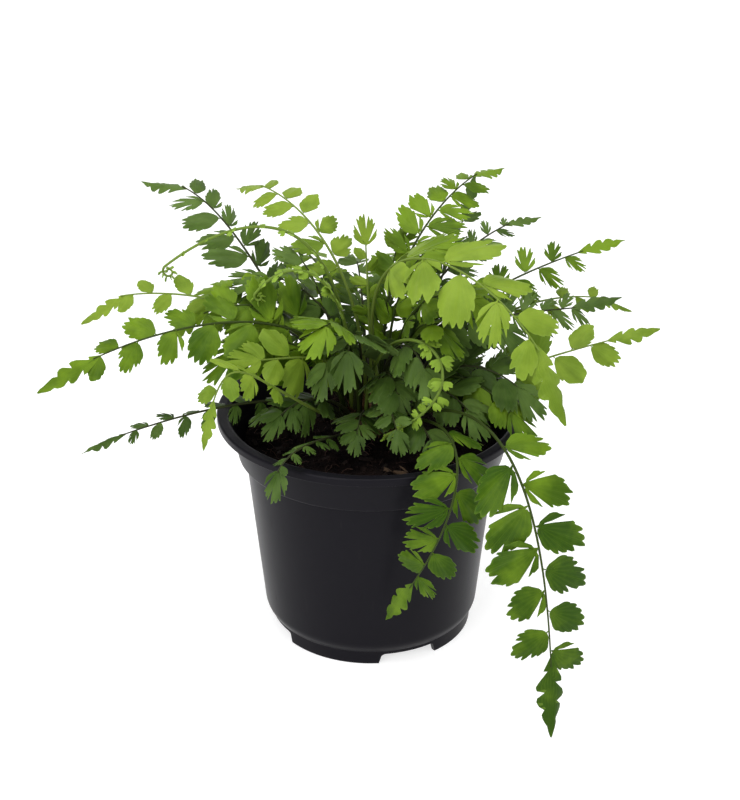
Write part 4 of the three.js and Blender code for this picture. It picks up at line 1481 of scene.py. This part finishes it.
def frond_carrier(frond, index, seat, settings):
    """Points for the tree: the stalk as a line, and one loose point for each leaflet."""
    stalk = Stalk(frond, seat)
    heart = np.array([*CROWN_PLACE, SOIL_MIDDLE + HEART_HEIGHT])
    count = max(FEWEST_STEPS, int(stalk.lengths[-1] / STALK_STEP))
    line = [seat + (heart - seat) * ROOT_REACH]
    stop = 1 if frond.name in CURLS else LAST_START + LAST_OVERLAP
    line += [stalk.point(stalk.time(stop * i / count)) for i in range(count + 1)]
    taper = np.linspace(0, 1, len(line)) ** STALK_TAPER
    girth = settings.stalk_base + (settings.stalk_tip - settings.stalk_base) * taper
    spots = []
    if frond.name in CURLS:
        along, face, side = stalk.axes(1)
        spiral = list(curled(line[-1], along, -face, *CURLS[frond.name]))
        girth = np.linspace(CROZIER_RADIUS * MM, CURL_RADIUS * MM, len(line))
        girth = np.append(girth, CURL_RADIUS * MM * np.linspace(1, CURL_END, len(spiral)))
        line += [here for here, out in spiral]
        spots += [*curl_buds(spiral, face, side), *unopened(frond, stalk)]
    # Painted shade: a frond whose end hangs lower than the mix gets darker leaflets.
    shade = HANGING_SHADE if frond.path[2][2] < SOIL_EDGE else 0
    for here, leaf, axis, top in placed_leaflets(frond, index, stalk):
        size = (leaf["length"], leaf["width"])
        spots.append(Spot(here, axis, top, *size, leaf["shape"], leaf["droop"], freshness_and_painted_light(here, leaf, shade)))

    points = line + [spot.here for spot in spots]
    mesh = mesh_from("carrier", points, [], [(i, i + 1) for i in range(len(line) - 1)])
    blank = [0.0] * len(line)
    upright = [(0, 0, 1)] * len(line)
    off_line = [0.0] * len(spots)
    sizes = [(spot.length * MM, spot.width * MM, settings.thickness) for spot in spots]
    put(mesh, "leaflet", blank + [1.0] * len(spots))
    put(mesh, "girth", list(girth) + off_line)
    put(mesh, "along", list(np.linspace(0, 1, len(line))) + off_line)
    put(mesh, "axis", upright + [spot.axis for spot in spots], "FLOAT_VECTOR")
    put(mesh, "top", upright + [spot.top for spot in spots], "FLOAT_VECTOR")
    put(mesh, "size", upright + sizes, "FLOAT_VECTOR")
    put(mesh, "shape", [0] * len(line) + [spot.shape for spot in spots], "INT")
    put(mesh, "droop", blank + [spot.droop for spot in spots])
    put(mesh, "cup", blank + [CUP + UNEVEN_CUP * scatter(i + 5, index) for i in range(len(spots))])
    put(mesh, "wave", blank + [WAVE_START * scatter(i + 17, index) for i in range(len(spots))])
    # vary carries each leaflet's tone, with its painted light and painted shade, to the finish.
    put(mesh, "vary", blank + [spot.fresh for spot in spots])
    return mesh


def frond_tree():
    """A swept stalk with a picked, bent leaflet on each loose point."""
    inputs = (
        ("Carrier", "Geometry"), ("Shapes", "Collection"), ("Stalk sides", "Int"), ("Ruffle", "Float"),
        ("Finish", "Material"),
    )
    net, given = new_tree("Fern frond", inputs, "Frond")

    def stored(name, kind="FLOAT"):
        return net.add("GeometryNodeInputNamedAttribute", {"data_type": kind}, {"Name": name}, "Attribute")

    parts = net.add(
        "GeometryNodeSeparateGeometry", {"domain": "POINT"},
        {"Geometry": given["Carrier"], "Selection": stored("leaflet") - 0.5}, None,
    )
    turn = net.add(
        "FunctionNodeAxesToRotation", {"primary_axis": "X", "secondary_axis": "Z"},
        {"Primary Axis": stored("axis", "FLOAT_VECTOR"), "Secondary Axis": stored("top", "FLOAT_VECTOR")},
    )
    picks = net.add(
        "GeometryNodeCollectionInfo",
        values={"Collection": given["Shapes"], "Separate Children": True, "Reset Children": True},
    )
    copies = net.add(
        "GeometryNodeInstanceOnPoints",
        values={
            "Points": Wire(net, parts.outputs["Selection"]), "Instance": picks, "Pick Instance": True,
            "Instance Index": stored("shape", "INT"), "Rotation": turn,
            "Scale": stored("size", "FLOAT_VECTOR"),
        },
    )
    real = net.add("GeometryNodeRealizeInstances", values={"Geometry": copies})
    run, side = stored("run"), stored("side")
    size = net.add("ShaderNodeSeparateXYZ", values={0: stored("size", "FLOAT_VECTOR")}, out="X")
    bend = 0 - stored("droop") * run * run - stored("cup") * side * side * run
    wave = stored("wave") + side * 7 + run * 3
    bend = bend + given["Ruffle"] * wave.sine() * run
    offset = net.add(
        "ShaderNodeVectorMath", {"operation": "SCALE"},
        {0: stored("top", "FLOAT_VECTOR"), "Scale": bend * size},
    )
    bent = net.add("GeometryNodeSetPosition", values={"Geometry": real, "Offset": offset})

    line = net.add("GeometryNodeMeshToCurve", values={"Mesh": Wire(net, parts.outputs["Inverted"])})
    ring = net.add(
        "GeometryNodeCurvePrimitiveCircle", values={"Resolution": given["Stalk sides"], "Radius": 1.0}
    )
    swept = net.add(
        "GeometryNodeCurveToMesh",
        values={"Curve": line, "Profile Curve": ring, "Scale": stored("girth"), "Fill Caps": True},
    )
    swept = net.add(
        "GeometryNodeStoreNamedAttribute", {"data_type": "FLOAT", "domain": "POINT"},
        {"Geometry": swept, "Name": "stalk", "Value": 1.0},
    )
    whole = net.add("GeometryNodeJoinGeometry", out=None)
    for part in (bent, swept):
        net.tree.links.new(part.socket, whole.inputs[0])
    smooth = net.add("GeometryNodeSetShadeSmooth", values={"Geometry": Wire(net, whole.outputs[0])})
    painted = net.add("GeometryNodeSetMaterial", values={"Geometry": smooth, "Material": given["Finish"]})
    net.add("NodeGroupOutput", values={0: painted}, out=None)
    return net.tree


VEINS = 9  # veins that leave the stem; each forks on the way out


def vein_lines(across, out, count, width):
    """1 along evenly spread veins and 0 between them, equally thick all the way out."""
    gap = (across * count).fraction() - 0.5
    return (gap.absolute() * (out + 0.12)).step(0, width, 1, 0)


def leaf_finish(name, tint, fresh, stalk_tint):
    """A leaflet with forked veins, a quilted face, a pale edge and a dull, paler back."""
    net = Finish(name)
    spot = net.add("ShaderNodeUVMap", {"uv_map": "fan"})
    across, out = (
        net.add("ShaderNodeSeparateXYZ", values={0: spot}, out=axis) for axis in ("X", "Y")
    )
    vary, under, rim = net.attribute("vary"), net.attribute("under"), net.attribute("rim")
    stalk, along = net.attribute("stalk"), net.attribute("along")
    forks = out.step(0.3, 0.5)
    veins = vein_lines(across, out, VEINS, 0.11)
    veins = veins.larger(vein_lines(across, out, 2 * VEINS, 0.1) * forks * 0.8)
    cloud = net.noise(70, 3)
    grain = net.noise(2400, 2)
    # vary holds the leaflet's tone from the carrier, painted light high up and painted shade on hanging
    # fronds included.
    tone = net.mix((vary * 0.75 + cloud.step(0.35, 0.7) * 0.4 - 0.1).step(0, 1), tint, fresh)
    tone = net.mix(veins * 0.08, tone, [min(1, 1.4 * c + 0.01) for c in fresh])
    tone = net.mix(rim.step(0.93, 1.0, 0, 0.2), tone, [min(1, 1.3 * c + 0.02) for c in fresh])
    pale = net.mix(0.4, fresh, (0.13, 0.19, 0.06))
    tone = net.mix(under * 0.5, tone, pale)
    tone = net.scaled(tone, 0.82 + grain * 0.12 + cloud * 0.24)
    bark = net.mix(along.step(0.0, 0.75), [c * 0.55 for c in stalk_tint], stalk_tint)
    tone = net.mix(stalk, tone, bark)
    quilt = (1 - veins) * (1 - stalk) + grain * 0.25
    return net.done(
        Base_Color=tone, Roughness=0.4 + grain * 0.1 + under * 0.25, Specular_IOR_Level=0.08,
        Subsurface_Weight=0.1, Subsurface_Radius=(0.6, 1.0, 0.1), Subsurface_Scale=0.0006,
        Normal=net.bump(quilt, 0.16, 0.00015),
    )


def leaf_finishes(settings):
    """One finish for each age, from the colours of its dull leaflets, of its light leaflets (young ones and
    those with painted light) and of its stalk.
    """
    looks = {
        "mature": (settings.mature, (0.12, 0.2, 0.01), (0.03, 0.048, 0.008)),
        "dark": (settings.dark, (0.078, 0.13, 0.026), (0.028, 0.034, 0.012)),
        "young": (settings.young, (0.17, 0.25, 0.025), (0.13, 0.19, 0.03)),
        "crozier": (settings.crozier, (0.2, 0.31, 0.035), (0.13, 0.2, 0.03)),
    }
    return {age: leaf_finish(SLOTS[age], *look) for age, look in looks.items()}


class FERN_OT_make_fronds(bpy.types.Operator):
    """Makes every frond: a swept stalk with its toothed leaflets"""
    bl_idname = "fern.make_fronds"
    bl_label = "Fronds"

    def execute(self, context):
        settings = context.scene.fern_frond
        shapes = leaf_shapes()
        tree = frond_tree()
        finishes = leaf_finishes(settings)
        seat = seats()
        for index, frond in enumerate(FRONDS):
            carrier = frond_carrier(frond, index, seat[frond.name], settings)
            thing = new_object("leafy_" + frond.name, carrier)
            with_nodes(
                thing, tree, Shapes=shapes, Stalk_sides=settings.sides, Ruffle=settings.ruffle,
                Finish=finishes[frond.age],
            )
            finished(thing, SLOTS[frond.age], "frond_" + frond.name)
        dropped(shapes)
        return {"FINISHED"}


# ---- withered leaflet -------------------------------------------------------------------------
DRY_TURN = 165
DRY_LENGTH = 0.9  # over the diagonal of its solid's box
DRY_WIDTH = 0.42
DRY_LIFT = 0.0006  # metres from the foot of its solid to the blade
DRY_THICKNESS = 0.0003


def dry_curl(x, y):
    """How far in metres the dry blade stands up: crimped across, and curled at its sides and end."""
    return 0.0012 * math.sin(9 * x + 5 * y) + 0.0016 * (2 * y) ** 2 + 0.0015 * x * x


class FERN_OT_make_withered(bpy.types.Operator):
    """Makes the dead leaflet that lies curled on the mix"""
    bl_idname = "fern.make_withered"
    bl_label = "Withered leaflet"

    def execute(self, context):
        mesh = fan_leaflet("dry_leaflet", OUTLINES["lobe_left"])
        low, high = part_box("withered_leaflet")
        middle = (low + high) / 2
        span = (high - low).length
        turn = math.radians(DRY_TURN)
        along = Vector((math.cos(turn), math.sin(turn), 0))
        across = Vector((-along.y, along.x, 0))
        for vert in mesh.vertices:
            x, y, z = vert.co
            height = low.z + DRY_LIFT + dry_curl(x, y) + z * DRY_THICKNESS
            vert.co = middle + along * (x - 0.5) * span * DRY_LENGTH + across * y * span * DRY_WIDTH
            vert.co.z = height
        mesh.update()
        thing = new_object("dry_leaflet", mesh)
        net = Finish("withered_leaf")
        patch = net.noise(220, 4)
        tint = net.mix(patch.step(0.35, 0.65), (0.025, 0.014, 0.008), (0.09, 0.055, 0.03))
        mesh.materials.append(net.done(
            Base_Color=tint, Roughness=0.75 + patch * 0.15, Specular_IOR_Level=0.3,
            Normal=net.bump(patch, 0.6, 0.0005),
        ))
        finished(thing, "withered_leaf", "withered_leaflet")
        return {"FINISHED"}


# ---- stage ------------------------------------------------------------------------------------
FLOOR_RADIUS = 7.0
WALL_HEIGHT = 3.5
LIGHTS = (  # name, place in metres, size in metres, power in watts
    ("overhead", (0.0, -0.1, 1.5), 1.6, 25),
    ("front_left", (-0.9, -1.4, 0.9), 0.9, 15),
    ("right", (1.4, -0.5, 0.6), 0.8, 4),
)
LIT_PLACE = (0, 0, 0.1)  # what the lights point at
WORLD_STRENGTH = 0.28
CAMERA_SHIFT = (-0.001, 0.00975)  # shares of the picture's longer side


def make_floor(settings):
    """A pale round floor with a low wall round it."""
    work = bmesh.new()
    bmesh.ops.create_circle(work, cap_ends=True, segments=96, radius=FLOOR_RADIUS)
    rim = [edge for edge in work.edges if edge.is_boundary]
    wall = bmesh.ops.extrude_edge_only(work, edges=rim)["geom"]
    top = [v for v in wall if isinstance(v, bmesh.types.BMVert)]
    bmesh.ops.translate(work, vec=(0, 0, WALL_HEIGHT), verts=top)
    mesh = worked("studio_floor", work)
    net = Finish("studio_floor")
    mottle = net.noise(3, 2)
    tint = net.scaled((*settings.floor,), 0.985 + mottle * 0.03)
    mesh.materials.append(net.done(
        Base_Color=tint, Roughness=0.9, Specular_IOR_Level=0.1, Emission_Color=(1, 1, 1, 1),
        Emission_Strength=settings.floor_glow,
    ))
    new_object("studio_floor", mesh)


def make_lights():
    middle = Vector(LIT_PLACE)
    for name, place, size, power in LIGHTS:
        light = bpy.data.lights.new(name, "AREA")
        light.size = size
        light.energy = power
        lamp = new_object(name, light)
        lamp.location = place
        lamp.rotation_euler = (middle - Vector(place)).to_track_quat("-Z", "Y").to_euler()
    world = bpy.data.worlds.new("studio")
    world.use_nodes = True
    back = world.node_tree.nodes["Background"]
    back.inputs["Color"].default_value = (1, 1, 1, 1)
    back.inputs["Strength"].default_value = WORLD_STRENGTH
    bpy.context.scene.world = world


def make_camera(settings):
    data = bpy.data.cameras.new("camera")
    data.lens = settings.lens
    data.sensor_width = 36
    data.shift_x, data.shift_y = CAMERA_SHIFT
    data.clip_start = 0.01
    camera = new_object("camera", data)
    camera.location = (0, -settings.camera_distance, settings.camera_height)
    camera.rotation_euler = (math.pi / 2 - settings.camera_tilt, 0, 0)
    bpy.context.scene.camera = camera


class FERN_OT_make_stage(bpy.types.Operator):
    """Makes the camera, the pale floor and the soft lights"""
    bl_idname = "fern.make_stage"
    bl_label = "Stage"

    def execute(self, context):
        settings = context.scene.fern_stage
        make_camera(settings)
        make_floor(settings)
        make_lights()
        context.scene.view_settings.view_transform = "Standard"
        return {"FINISHED"}


# ---- panel and registering --------------------------------------------------------------------
OPERATORS = (
    FERN_OT_make_stage, FERN_OT_make_pot, FERN_OT_make_soil, FERN_OT_make_crown,
    FERN_OT_make_withered, FERN_OT_make_fronds,
)
SETTINGS = {
    "fern_pot": PotSettings, "fern_soil": SoilSettings, "fern_crown": CrownSettings,
    "fern_frond": FrondSettings, "fern_stage": StageSettings,
}


class FERN_PT_panel(bpy.types.Panel):
    """Lists the pieces of the potted fern"""
    bl_idname = "FERN_PT_panel"
    bl_label = "Potted fern"
    bl_space_type = "VIEW_3D"
    bl_region_type = "UI"
    bl_category = "Fern"

    def draw(self, context):
        for operator in OPERATORS:
            self.layout.operator(operator.bl_idname)
        for name, group in SETTINGS.items():
            box = self.layout.box()
            for field in group.__annotations__:
                box.prop(getattr(context.scene, name), field)


def register():
    for name, group in SETTINGS.items():
        bpy.utils.register_class(group)
        setattr(bpy.types.Scene, name, PointerProperty(type=group))
    for kind in (*OPERATORS, FERN_PT_panel):
        bpy.utils.register_class(kind)


def unregister():
    for kind in reversed((*OPERATORS, FERN_PT_panel)):
        bpy.utils.unregister_class(kind)
    for name, group in SETTINGS.items():
        delattr(bpy.types.Scene, name)
        bpy.utils.unregister_class(group)


def main():
    register()
    bpy.ops.fern.make_stage()
    bpy.ops.fern.make_pot()
    bpy.ops.fern.make_soil()
    bpy.ops.fern.make_crown()
    bpy.ops.fern.make_withered()
    bpy.ops.fern.make_fronds()


if __name__ == "__main__":
    main()
